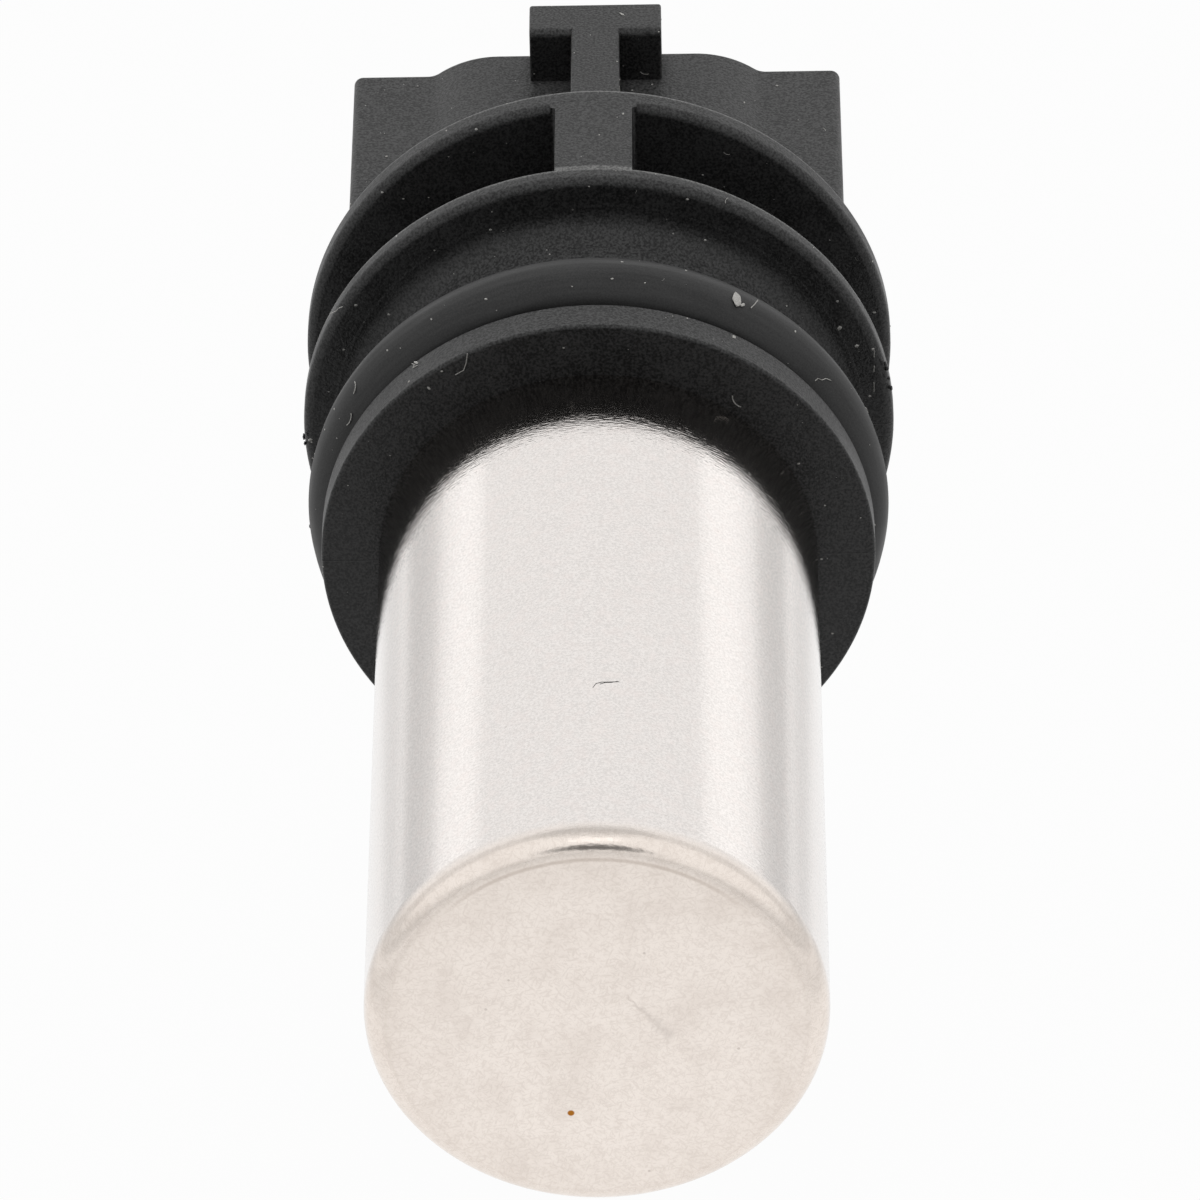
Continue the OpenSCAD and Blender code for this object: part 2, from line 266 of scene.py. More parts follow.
def smooth(mesh: Mesh, crease: float) -> Mesh:
    """Shade a mesh smooth up to a crease angle, with its flat faces kept flat.

    Args:
        mesh: The mesh, which is used up.
        crease: Largest smooth angle between two faces, in degrees.

    Returns:
        The shaded mesh.
    """
    mesh.shade_smooth()
    mesh.set_sharp_from_angle(angle=math.radians(crease))
    piece = in_scene("shaded", mesh)
    piece.modifiers.new("flat faces", "WEIGHTED_NORMAL").keep_sharp = True
    shaded = evaluated_mesh(piece)
    bpy.data.objects.remove(piece)
    bpy.data.meshes.remove(mesh)
    return shaded


def finished_piece(
    name: str, mesh: Mesh, material: bpy.types.Material, replaces: Sequence[str] = (),
    scale: float = MM,
) -> bpy.types.Object:
    """Put a finished mesh in the scene as a piece of the sensor.

    Args:
        name: Name of the piece.
        mesh: Its mesh.
        material: Its finish.
        replaces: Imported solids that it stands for.
        scale: Length of the mesh's unit, in metres.

    Returns:
        The piece.
    """
    mesh.transform(Matrix.Scale(scale, 4))
    mesh.name = name
    mesh.materials.clear()
    mesh.materials.append(material)
    piece = in_scene(name, mesh)
    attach(piece, BODY)
    if replaces:
        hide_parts(*replaces)
    LOG.info("%s: %d faces", name, len(mesh.polygons))
    return piece


class Graph:
    """A node tree that is built with short calls."""

    def __init__(self, tree: bpy.types.NodeTree) -> None:
        """Start with an empty tree."""
        self.tree = tree
        tree.nodes.clear()

    def add(self, kind: str, inputs: Optional[Inputs] = None, **settings: Any) -> bpy.types.Node:
        """Add a node.

        Args:
            kind: Type of the node.
            inputs: Values or sockets for its inputs, by name or number.
            settings: The node's own properties.

        Returns:
            The node.
        """
        node = self.tree.nodes.new(kind)
        for key, value in settings.items():
            setattr(node, key, value)
        for key, value in (inputs or {}).items():
            self.fill(node.inputs[key], value)
        return node

    def fill(self, socket: Socket, value: Any) -> None:
        """Link a socket into an input, or set the input's value."""
        if isinstance(value, Socket):
            self.tree.links.new(value, socket)
        elif isinstance(value, tuple) and len(value) == 3 and socket.type == "RGBA":
            socket.default_value = (*value, 1.0)
        else:
            socket.default_value = value

    def math(self, operation: str, *values: Any, clamp: bool = False) -> Socket:
        """Add a Math node and give its result."""
        inputs = dict(enumerate(values))
        return self.add("ShaderNodeMath", inputs, operation=operation, use_clamp=clamp).outputs[0]

    def times(self, *values: Any) -> Socket:
        """Multiply values."""
        return reduce(lambda one, two: self.math("MULTIPLY", one, two), values)

    def plus(self, *values: Any) -> Socket:
        """Add values."""
        return reduce(lambda one, two: self.math("ADD", one, two), values)

    def most(self, *values: Any) -> Socket:
        """Give the largest of some values."""
        return reduce(lambda one, two: self.math("MAXIMUM", one, two), values)

    def vector(self, operation: str, *values: Any, output: Any = 0) -> Socket:
        """Add a Vector Math node and give one of its results."""
        return self.add("ShaderNodeVectorMath", dict(enumerate(values)), operation=operation).outputs[output]

    def dot(self, one: Any, two: Any) -> Socket:
        """Give the dot product of two vectors."""
        return self.vector("DOT_PRODUCT", one, two, output="Value")

    def away(self, one: Any, two: Any) -> Socket:
        """Give the distance between two points."""
        return self.vector("DISTANCE", one, two, output="Value")

    def off_axis(self, place: Any) -> Socket:
        """Give a place's distance from the sensor's axis."""
        return self.away(self.vector("MULTIPLY", place, (1.0, 0.0, 1.0)), (0.0, 0.0, 0.0))

    def axes(self, vector: Any) -> Any:
        """Take a vector apart into x, y and z."""
        return self.add("ShaderNodeSeparateXYZ", {0: vector}).outputs

    def xyz(self, *values: Any) -> Socket:
        """Make a vector of x, y and z."""
        return self.add("ShaderNodeCombineXYZ", dict(enumerate(values))).outputs[0]

    def stretch(self, vector: Any, scales: Triple, turn: Triple = (0.0, 0.0, 0.0)) -> Socket:
        """Scale and turn a vector before a pattern reads it."""
        turned = tuple(math.radians(a) for a in turn)
        inputs = {"Vector": vector, "Scale": scales, "Rotation": turned}
        return self.add("ShaderNodeMapping", inputs).outputs[0]

    def noise(
        self, vector: Any, size: float, detail: float = 2.0, roughness: float = 0.5, twist: float = 0.0,
    ) -> Socket:
        """Add a noise pattern.

        Args:
            vector: Where the pattern is read, in millimetres.
            size: Size of the pattern's spots, in millimetres.
            detail: Number of finer layers.
            roughness: Weight of the finer layers.
            twist: Distortion of the pattern.

        Returns:
            The pattern's value, from 0 to 1.
        """
        inputs = {"Vector": vector, "Scale": 1.0 / size, "Detail": detail, "Roughness": roughness}
        return self.add("ShaderNodeTexNoise", {**inputs, "Distortion": twist}).outputs[0]

    def span(self, value: Any, low: float, high: float, to_low: float = 0.0, to_high: float = 1.0) -> Socket:
        """Map a range smoothly to another and clamp it.

        Args:
            value: Value to map.
            low: Start of its range.
            high: End of its range.
            to_low: Result at the start.
            to_high: Result at the end.

        Returns:
            The mapped value.
        """
        inputs = {"Value": value, "From Min": low, "From Max": high, "To Min": to_low, "To Max": to_high}
        node = self.add("ShaderNodeMapRange", inputs, interpolation_type="SMOOTHSTEP", clamp=True)
        return node.outputs["Result"]

    def blend(self, share: Any, one: Any, two: Any) -> Socket:
        """Mix two colours."""
        inputs = {0: share, 6: one, 7: two}
        return self.add("ShaderNodeMix", inputs, data_type="RGBA", clamp_factor=True).outputs[2]

    def tint(self, colour: Any, other: Any, *masks: Any) -> Socket:
        """Mix another colour into a colour by the product of masks."""
        return self.blend(self.times(*masks), colour, other)

    def specks(self, place: Any, cell: float, size: float, share: float) -> Socket:
        """Scatter round specks.

        Args:
            place: Where the pattern is read, in millimetres.
            cell: Size of the cells, with at most one speck in each.
            size: Largest radius of a speck, as a share of a cell.
            share: Share of the cells that have one.

        Returns:
            A mask of the specks.
        """
        cells = self.add("ShaderNodeTexVoronoi", {"Vector": place, "Scale": 1.0 / cell}).outputs
        draw = self.add("ShaderNodeSeparateColor", {0: cells["Color"]}).outputs
        chosen = self.math("LESS_THAN", draw[0], share)
        near = self.math("LESS_THAN", cells["Distance"], self.times(draw[1], size))
        return self.times(chosen, near)

    def bump(self, height: Any, depth: float, normal: Any = None) -> Socket:
        """Turn a height pattern into a bump.

        Args:
            height: The pattern, from 0 to 1.
            depth: Its depth, in millimetres.
            normal: Normal of a bump below it.

        Returns:
            The bumped normal.
        """
        inputs = {"Height": height, "Strength": 1.0, "Distance": depth * MM}
        if normal is not None:
            inputs["Normal"] = normal
        return self.add("ShaderNodeBump", inputs).outputs[0]


@dataclass(frozen=True)
class Finish:
    """A material whose patterns read the object's own coordinates, in millimetres."""

    name: str
    colour: Triple
    roughness: float

    def build(self) -> bpy.types.Material:
        """Make the material."""
        material = bpy.data.materials.new(self.name)
        material.use_nodes = True
        graph = Graph(material.node_tree)
        place = graph.add("ShaderNodeTexCoord").outputs["Object"]
        place = graph.add("ShaderNodeVectorMath", {0: place, "Scale": 1.0 / MM}, operation="SCALE").outputs[0]
        shader = graph.add("ShaderNodeBsdfPrincipled", self.surface(graph, place))
        graph.add("ShaderNodeOutputMaterial", {"Surface": shader.outputs[0]})
        return material

    def surface(self, graph: Graph, place: Socket) -> Inputs:
        """Build the patterns.

        Args:
            graph: The material's graph.
            place: The place on the surface, in millimetres.

        Returns:
            Inputs of the surface shader.
        """
        raise NotImplementedError

    def uneven(self, graph: Graph, pattern: Socket, less: float, more: float) -> Socket:
        """Spread the roughness by a pattern, from so much less to so much more."""
        return graph.span(pattern, 0.3, 0.7, self.roughness - less, self.roughness + more)


@dataclass(frozen=True)
class MouldedPlastic(Finish):
    """Matt moulded plastic with a fine skin, dust, a parting line and collar edges worn pale with a painted
    highlight.
    """

    light: Triple = grey(0.05)
    mottle_size: float = 1.6
    skin_share: float = 0.85
    grain: float = 0.11
    grain_depth: float = 0.024
    specular: float = 0.35
    dust: Triple = (0.3, 0.29, 0.28)
    dust_share: float = 0.1
    parting: bool = False
    # Collar edges, as radius and station, painted pale on their upper side: wear plus a painted highlight.
    edge_wear_and_highlight: tuple[Point, ...] = ()
    edge_wear_and_highlight_tone: Triple = (0.21, 0.21, 0.206)

    def surface(self, graph: Graph, place: Socket) -> Inputs:
        """Build the skin, the dust and the marks."""
        mottle = graph.noise(place, self.mottle_size, 3.0, 0.6)
        skin = graph.noise(place, self.grain, 2.0, 0.6)
        tone = graph.plus(graph.times(mottle, 1.0 - self.skin_share), graph.times(skin, self.skin_share))
        colour = graph.blend(graph.span(tone, 0.36, 0.64), self.colour, self.light)
        # Painted highlight with pale wear along each listed collar edge, upper side only.
        for edge in self.edge_wear_and_highlight:
            colour = graph.tint(colour, self.edge_wear_and_highlight_tone, self.edge_wear_and_highlight_mask(graph, place, skin, edge))
        fine = graph.specks(place, 0.9, 0.055, self.dust_share)
        turned = graph.stretch(place, (1.0, 0.6, 1.3), (20, 40, 10))
        coarse = graph.specks(turned, 2.3, 0.035, self.dust_share)
        colour = graph.tint(colour, self.dust, graph.most(fine, coarse), 0.7)
        height = graph.plus(skin, graph.times(mottle, 0.5))
        if self.parting:
            line = graph.span(graph.math("ABSOLUTE", graph.axes(place)[2]), 0.015, 0.045, 1.0, 0.0)
            colour = graph.tint(colour, self.light, line, 0.5)
            height = graph.plus(height, graph.times(line, 2.0))
        return {
            "Base Color": colour, "Roughness": self.uneven(graph, mottle, 0.05, 0.06),
            "Specular IOR Level": self.specular, "Normal": graph.bump(height, self.grain_depth),
        }

    def edge_wear_and_highlight_mask(self, graph: Graph, place: Socket, skin: Socket, edge: Point) -> Socket:
        """Mask a collar's edge that is worn pale and given a painted highlight on its upper side.

        Args:
            graph: The material's graph.
            place: Where the pattern is read.
            skin: The skin's pattern, which breaks the mark up.
            edge: Radius and station of the edge.

        Returns:
            The mask.
        """
        axes = graph.axes(place)
        where = graph.xyz(graph.off_axis(place), axes[1])
        near = graph.span(graph.away(where, (*edge, 0.0)), 0.08, 0.26, 1.0, 0.0)
        # Painted highlight: the pale edge is kept to the upper half, where the light falls.
        lit_upper_half = graph.span(axes[2], -3.0, 0.0)
        return graph.times(near, lit_upper_half, graph.span(skin, 0.36, 0.6, 0.3, 0.9))


@dataclass(frozen=True)
class SealRubber(Finish):
    """Seal rubber with faint lines around the ring and dust."""

    light: Triple = grey(0.06)
    specular: float = 0.35
    dust: Triple = (0.35, 0.34, 0.33)
    depth: float = 0.004

    def surface(self, graph: Graph, place: Socket) -> Inputs:
        """Build the skin, the lines and the dust."""
        skin = graph.noise(place, 0.07, 2.0, 0.6)
        lines = graph.noise(graph.stretch(place, (0.12, 2.4, 0.12)), 0.5, 3.0, 0.6)
        cloud = graph.noise(place, 2.4, 2.0)
        tone = graph.plus(graph.times(lines, 0.35), graph.times(cloud, 0.2), graph.times(skin, 0.45))
        colour = graph.blend(graph.span(tone, 0.36, 0.64), self.colour, self.light)
        colour = graph.tint(colour, self.dust, graph.specks(place, 0.8, 0.05, 0.1), 0.75)
        height = graph.plus(graph.times(skin, 0.6), graph.times(lines, 0.8))
        return {
            "Base Color": colour, "Roughness": self.uneven(graph, cloud, 0.04, 0.06),
            "Specular IOR Level": self.specular, "Normal": graph.bump(height, self.depth),
        }


@dataclass(frozen=True)
class DrawnSteel(Finish):
    """Drawn stainless sheet: fine marks around the wall, and a duller, scuffed end."""

    end_colour: Triple = (0.955, 0.875, 0.81)
    end_roughness: float = 0.34
    end_depth: float = 0.004
    wall_depth: float = 0.0055
    bend_roughness: float = 0.17
    bend_r: float = 1.1
    crease_r: float = 8.16
    freckle: Triple = (0.3, 0.27, 0.24)
    stain: Triple = (0.42, 0.16, 0.02)
    stain_place: Triple = (-1.12, 0.0, -4.4)
    stain_r: float = 0.16
    scuff_turns: Triple = (12.0, 71.0, 133.0)
    drag_from: Triple = (1.14, 0.0, 1.48)
    drag_to: Triple = (3.08, 0.0, -0.8)

    def surface(self, graph: Graph, place: Socket) -> Inputs:
        """Build the wall's and the end's patterns and part them at the bend."""
        station = graph.axes(place)[1]
        bend = graph.span(station, 0.02, 0.08)
        flat = graph.math("SUBTRACT", 1.0, bend)
        wall = graph.span(station, self.bend_r * 0.4, self.bend_r * 1.1)
        marks = graph.noise(graph.stretch(place, (0.13, 1.0, 0.13)), 0.13, 2.0, 0.55)
        pebbles = graph.noise(graph.stretch(place, (0.24, 1.0, 0.24)), 0.085, 1.0, 0.5)
        pits = graph.noise(place, 0.1, 3.0, 0.65)
        scuffs = self.scuffs(graph, place)
        colour = graph.blend(wall, self.end_tone(graph, place, scuffs), self.side_tone(graph, place, pits))
        wall_height = graph.plus(graph.times(marks, 0.4), pebbles)
        end_height = graph.plus(scuffs, graph.times(pits, 0.8))
        wall_bump = graph.bump(graph.times(wall_height, bend), self.wall_depth)
        side_rough = graph.span(station, self.bend_r * 0.8, self.bend_r, self.bend_roughness, self.roughness)
        return {
            "Base Color": colour, "Metallic": 1.0,
            "Roughness": graph.plus(graph.times(side_rough, bend), graph.times(flat, self.end_roughness)),
            "Normal": graph.bump(graph.times(end_height, flat), self.end_depth, wall_bump),
        }

    def shade(self, *factors: float) -> Triple:
        """Give the wall's colour times a factor for each channel."""
        return tuple(c * f for c, f in zip(self.colour, factors))

    def side_tone(self, graph: Graph, place: Socket, pits: Socket) -> Socket:
        """Colour the wall: fine mottling with small dark pits."""
        side = graph.blend(graph.span(pits, 0.36, 0.64), self.shade(*grey(0.88)), self.shade(*grey(1.06)))
        warm = graph.span(graph.noise(place, 0.5, 2.0), 0.45, 0.7)
        side = graph.tint(side, self.shade(1.03, 0.97, 0.96), warm, 0.25)
        freckles = graph.most(graph.specks(place, 0.7, 0.06, 0.3), graph.specks(place, 2.1, 0.03, 0.4))
        return graph.tint(side, self.freckle, freckles, 0.4)

    def end_tone(self, graph: Graph, place: Socket, scuffs: Socket) -> Socket:
        """Colour the end: soft clouds, wispy scuffs, freckles, a browner rim, painted shade on the crease's
        upper part, one drag mark and one stain.
        """
        out = graph.off_axis(place)
        cloud = graph.span(graph.noise(place, 2.2, 4.0, 0.6), 0.42, 0.68)
        spots = graph.most(graph.specks(place, 0.9, 0.07, 0.25), graph.specks(place, 2.6, 0.045, 0.3))
        # Painted shade: a darker line along the end's crease, kept to its upper part.
        off_crease = graph.math("ABSOLUTE", graph.math("SUBTRACT", out, self.crease_r))
        crease = graph.times(
            graph.span(off_crease, 0.02, 0.14, 1.0, 0.0), graph.span(graph.axes(place)[2], 5.0, 7.4),
        )
        stain = graph.span(graph.away(place, self.stain_place), self.stain_r * 0.7, self.stain_r, 1.0, 0.0)
        end: Any = self.end_colour
        for mask, share, colour in (
            (cloud, 0.22, (0.66, 0.57, 0.51)), (graph.span(out, 5.5, 8.2), 0.1, (0.64, 0.54, 0.46)),
            (scuffs, 0.38, (0.68, 0.6, 0.54)), (spots, 0.35, (0.34, 0.28, 0.24)),
            (self.drag_mark(graph, place), 0.34, (0.52, 0.46, 0.42)), (crease, 0.5, (0.5, 0.42, 0.36)),
            (graph.span(out, 8.2, 8.4), 0.14, (0.6, 0.53, 0.47)), (stain, 1.0, self.stain),
        ):
            end = graph.tint(end, colour, mask, share)
        return end

    def scuffs(self, graph: Graph, place: Socket) -> Socket:
        """Lay short wispy scuffs in three directions over each other."""
        layers = []
        for turn in self.scuff_turns:
            turned = graph.stretch(place, (1.0, 1.0, 1.0), (0.0, turn, 0.0))
            drawn = graph.noise(graph.stretch(turned, (0.8, 1.0, 2.8)), 0.3, 2.0, 0.6, 0.6)
            layers.append(graph.span(drawn, 0.5, 0.68))
        return graph.most(*layers)

    def drag_mark(self, graph: Graph, place: Socket) -> Socket:
        """Draw the one longer scuff on the end, between its two places."""
        start, end = Vector(self.drag_from), Vector(self.drag_to)
        along, whole = (end - start).normalized(), (end - start).length
        offset = graph.vector("SUBTRACT", place, tuple(start))
        run = graph.dot(offset, tuple(along))
        side = graph.dot(offset, tuple(along.cross(Vector((0.0, 1.0, 0.0)))))
        wander = graph.times(graph.math("SUBTRACT", graph.noise(place, 0.35, 3.0), 0.5), 0.5)
        offside = graph.math("ABSOLUTE", graph.plus(side, wander))
        width = graph.span(run, 0.0, whole, 0.05, 0.42)
        core = graph.math("SUBTRACT", 1.0, graph.math("DIVIDE", offside, width), clamp=True)
        return graph.times(core, graph.span(run, 0.0, 0.25), graph.span(run, whole - 0.3, whole, 1.0, 0.0))


@dataclass(frozen=True)
class BareMetal(Finish):
    """Plated or ground metal with soft stains and a drawn grain."""

    shade: Triple = grey(0.4)
    grain: Triple = (1.0, 1.0, 1.0)
    grain_size: float = 0.2
    depth: float = 0.002

    def surface(self, graph: Graph, place: Socket) -> Inputs:
        """Build the stains and the grain."""
        cloud = graph.noise(place, 1.1, 4.0, 0.6)
        drawn = graph.noise(graph.stretch(place, self.grain), self.grain_size, 3.0, 0.6)
        return {
            "Base Color": graph.blend(graph.span(cloud, 0.35, 0.7), self.colour, self.shade), "Metallic": 1.0,
            "Roughness": self.uneven(graph, cloud, 0.05, 0.08), "Normal": graph.bump(drawn, self.depth),
        }


@dataclass(frozen=True)
class BoardLaminate(Finish):
    """Woven glass laminate under green lacquer."""

    light: Triple = (0.03, 0.16, 0.07)
    pitch: float = 0.5
    depth: float = 0.006

    def surface(self, graph: Graph, place: Socket) -> Inputs:
        """Build the weave."""
        turn = 2 * math.pi / self.pitch
        across, along = (graph.math("SINE", graph.times(graph.axes(place)[i], turn)) for i in (0, 1))
        weave = graph.span(graph.times(across, along), -1.0, 1.0)
        cloud = graph.noise(place, 1.5, 2.0)
        tone = graph.plus(graph.times(weave, 0.5), graph.times(cloud, 0.5))
        return {
            "Base Color": graph.blend(graph.span(tone, 0.25, 0.75), self.colour, self.light),
            "Roughness": self.uneven(graph, cloud, 0.06, 0.06), "Normal": graph.bump(weave, self.depth),
        }


class Finishes:
    """All finishes of the sensor, each made once."""

    def __init__(self) -> None:
        """Make every material."""
        self.housing = MouldedPlastic(
            "housing_plastic", grey(0.016), 0.38, light=grey(0.068), specular=0.24, parting=True,
            # Near the rear edges of the rear collar and the seat collar: pale wear with a painted highlight
            # on top.
            edge_wear_and_highlight=((12.7, 49.45), (12.73, 43.24)),
        ).build()
        self.rubber = SealRubber("seal_rubber", grey(0.015), 0.48, light=grey(0.038)).build()
        self.can = DrawnSteel("can_steel", (0.815, 0.775, 0.747), 0.11).build()
        self.bushing = BareMetal(
            "bushing_steel", (0.56, 0.56, 0.57), 0.34, shade=(0.4, 0.4, 0.41), grain=(0.3, 4.0, 0.3),
        ).build()
        self.tin = BareMetal(
            "terminal_tin", (0.72, 0.71, 0.68), 0.28, shade=(0.58, 0.57, 0.54), grain=(3.0, 0.3, 1.0),
        ).build()
        self.holder = MouldedPlastic(
            "holder_plastic", grey(0.085), 0.5, light=grey(0.12), dust_share=0.03,
        ).build()
        self.chip = MouldedPlastic(
            "chip_plastic", grey(0.018), 0.45, light=grey(0.03), grain=0.05, dust_share=0.02,
        ).build()
        self.magnet = BareMetal("magnet_metal", (0.42, 0.41, 0.4), 0.42, shade=(0.3, 0.29, 0.28)).build()
        self.board = BoardLaminate("board_laminate", (0.015, 0.1, 0.045), 0.38).build()
        self.ceramic = MouldedPlastic(
            "capacitor_ceramic", (0.36, 0.27, 0.19), 0.4, light=(0.45, 0.35, 0.25), dust_share=0.02,
        ).build()
        self.resin = MouldedPlastic(
            "potting_resin", grey(0.02), 0.3, light=grey(0.03), grain=0.4, dust_share=0.04,
        ).build()
        self.dust = MouldedPlastic(
            "dust", (0.42, 0.41, 0.39), 0.6, light=(0.66, 0.65, 0.62), grain=0.03, dust_share=0.0,
        ).build()
        self.flash = MouldedPlastic(
            "flash_plastic", grey(0.02), 0.55, light=grey(0.035), grain=0.05, dust_share=0.0,
        ).build()


@dataclass
class SensorCan:
    """The drawn steel can."""

    wall: float = 0.5
    edge_r: float = 1.1
    lip_r: float = 0.12
    crease: float = 40.0

    def outline(self) -> list[Point]:
        """Draw the can's section from the middle of its end round to the inside.

        Returns:
            Points of radius and station.
        """
        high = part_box("sensor_can")[1] / MM
        radius, mouth, lip = high.x, high.y, self.lip_r
        flat_r = radius - self.edge_r
        inner_r, inner_edge = radius - self.wall, self.edge_r - self.wall
        points = [(flat_r * share, 0.0) for share in (0.0, 0.25, 0.5, 0.75, 0.9)]
        points += arc((flat_r, self.edge_r), self.edge_r, -90, 0, 24)
        points += [(radius, mouth * share) for share in (0.1, 0.3, 0.5, 0.7, 0.9)]
        points += arc((radius - lip, mouth - lip), lip, 0, 90, 4)
        points += arc((inner_r + lip, mouth - lip), lip, 90, 180, 4)
        points += arc((inner_r - inner_edge, self.edge_r), inner_edge, 0, -90, 8)
        return points + [(0.0, self.wall)]

    def build(self, finishes: Finishes) -> None:
        """Make the can and put it in place of its solid."""
        mesh = smooth(lathe(self.outline(), 360), self.crease)
        finished_piece("drawn_can", mesh, finishes.can, ["sensor_can"])


@dataclass
class Housing:
    """The moulded housing: collars, core, rib, ear, connector shroud and latch."""

    can_seat: float = 1.0
    can_wall: float = 0.5
    gap: float = 0.02
    front_collar_r: float = 11.73
    front_collar_t: float = 1.69
    front_ring: float = 0.9
    land_r: float = 9.15
    land_root_r: float = 0.3
    groove_w: float = 7.84
    root_r: float = 2.2
    root_turn_r: float = 1.35
    root_lean: float = 16.0
    face_back: float = 0.22
    seat_t: float = 1.22
    flange_t: float = 7.5
    rear_t: float = 1.3
    core_r: float = 9.2
    core_root_r: float = 0.35
    rib_w: float = 3.3
    rib_fillet_r: float = 0.2
    edge_r: float = 0.15
    soft_edge_r: float = 0.4
    back_edge_r: float = 0.3
    witness_off: float = 0.12
    witness_w: float = 0.06
    witness_h: float = 0.03
    ear_root_r: float = 10.4
    ear_rim: float = 3.2
    ear_edge_r: float = 0.35
    shroud_w: float = 17.8
    shroud_h: float = 14.9
    shroud_r: float = 4.55
    shroud_wall: float = 1.5
    socket_depth: float = 12.0
    mouth_step: float = 0.8
    mouth_relief: float = 0.35
    cheek_w: float = 21.5
    cheek_h: float = 12.9
    cheek_r: float = 0.4
    cheek_root_r: float = 0.9
    key_wall: float = 1.3
    key_h: float = 7.6
    key_r: float = 0.3
    mouth_edge_r: float = 0.2
    bar_w: float = 5.8
    bar_t: float = 2.25
    bar_front_r: float = 0.35
    stem_w: float = 2.12
    latch_rise: float = 2.55
    latch_edge_r: float = 0.12
    blade_w: float = 2.3
    blade_t: float = 0.64
    leg_w: float = 1.6
    leg_lap: float = 0.5
    sink: float = 0.6
    over: float = 1.0
    hair: float = 0.01
    crease: float = 32.0

    def __post_init__(self) -> None:
        """Read the stations and radii from the frame."""
        can_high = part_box("sensor_can")[1] / MM
        low, high = (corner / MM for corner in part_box("housing"))
        bush_low, bush_high = (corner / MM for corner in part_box("bolt_bushing"))
        self.can_r = can_high.x
        self.front_y = can_high.y - self.can_seat
        self.collar_y = self.front_y + self.front_collar_t
        self.seat_y = self.collar_y + self.groove_w
        self.seat_rear_y = self.seat_y + self.seat_t
        self.rear_y = self.seat_y + self.flange_t
        self.rear_front_y = self.rear_y - self.rear_t
        self.spigot_y, self.mouth_y = low.y, high.y
        self.seat_r = high.x
        self.latch_top = self.shroud_h / 2 + self.latch_rise
        self.bush_r = bush_high.x
        self.bolt_z = (bush_low.z + bush_high.z) / 2
        boxes = [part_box(f"terminal_{name}") for name in TERMINALS]
        self.terminal_xs = [sum(corner.x for corner in box) / 2 / MM for box in boxes]

    def collar(self, radius: float, front: float, rear: float, edges: Point) -> list[Point]:
        """Draw a collar's rim with its rounded front and rear edges, front first."""
        ahead, behind = edges
        points = arc((radius - ahead, front + ahead), ahead, -90, 0, 8)
        return points + arc((radius - behind, rear - behind), behind, 0, 90, 8)

    def root(self, face: float) -> list[Point]:
        """Draw the groove's floor, its turn up to the seat collar's face and the witness step there."""
        start_r = self.land_r + self.root_r
        turn_y = face - self.witness_h - self.root_turn_r
        turn = arc((start_r, turn_y), self.root_turn_r, 180 - self.root_lean, 90, 14)
        run = (turn[0][0] - self.land_r) / math.tan(math.radians(self.root_lean))
        witness = start_r + self.witness_off
        step = [(witness, face - self.witness_h), (witness + self.witness_w, face)]
        return [(self.land_r, turn[0][1] - run), *turn, *step]

    def body(self) -> Mesh:
        """Turn the round body with its three collars."""
        spigot_r, slot_r = self.can_r - self.can_wall - self.gap, self.can_r - self.gap / 2
        seat_depth = self.front_y + self.can_seat + self.gap
        face, edge, soft = self.seat_y + self.face_back, self.edge_r, self.soft_edge_r
        points = [(0.0, self.spigot_y), (spigot_r, self.spigot_y), (spigot_r, seat_depth)]
        points += [(slot_r, seat_depth), (slot_r, self.front_y)]
        points += [(self.front_collar_r * self.front_ring, self.front_y)]
        points += self.collar(self.front_collar_r, self.front_y, self.collar_y, (edge, edge))
        inner = self.land_root_r
        points += arc((self.land_r + inner, self.collar_y + inner), inner, -90, -180, 5)
        points += self.root(face)
        points += self.collar(self.seat_r, face, self.seat_rear_y, (soft, edge))
        inner = self.core_root_r
        points += arc((self.core_r + inner, self.seat_rear_y + inner), inner, -90, -180, 6)
        points += arc((self.core_r + inner, self.rear_front_y - inner), inner, 180, 90, 6)
        points += self.collar(self.seat_r, self.rear_front_y, self.rear_y, (soft, self.back_edge_r))
        return lathe(points + [(0.0, self.rear_y)])

    def rib(self) -> Mesh:
        """Make the rib between the seat collar and the rear collar."""
        half, flare = self.rib_w / 2, self.rib_fillet_r
        start, stop = self.seat_rear_y - self.sink, self.rear_front_y
        right = [(half, start), *arc((half + flare, stop - flare), flare, 180, 90, 8)]
        right += [(half + flare, stop + self.sink)]
        outline = right + [(-x, y) for x, y in reversed(right)]
        block = prism(outline, self.core_r - self.sink, self.seat_r + self.over, Facing.UPRIGHT)
        sleeve = rect(0.0, self.seat_r - self.hair, self.seat_y, self.rear_y - self.back_edge_r)
        return combine(block, lathe(sleeve), Joint.COMMON)

    def ear(self) -> Mesh:
        """Make the mounting ear with its round end."""
        end_r = self.bush_r + self.ear_rim
        lean = math.asin((self.ear_root_r - end_r) / -self.bolt_z)
        x, z = self.ear_root_r * math.cos(lean), -self.ear_root_r * math.sin(lean)
        turn = math.degrees(lean)
        outline = arc((0.0, self.bolt_z), end_r, -turn, -180 + turn, 48) + [(-x, z), (x, z)]
        return ease_edges(prism(outline, self.seat_y, self.rear_y), self.ear_edge_r, 4)

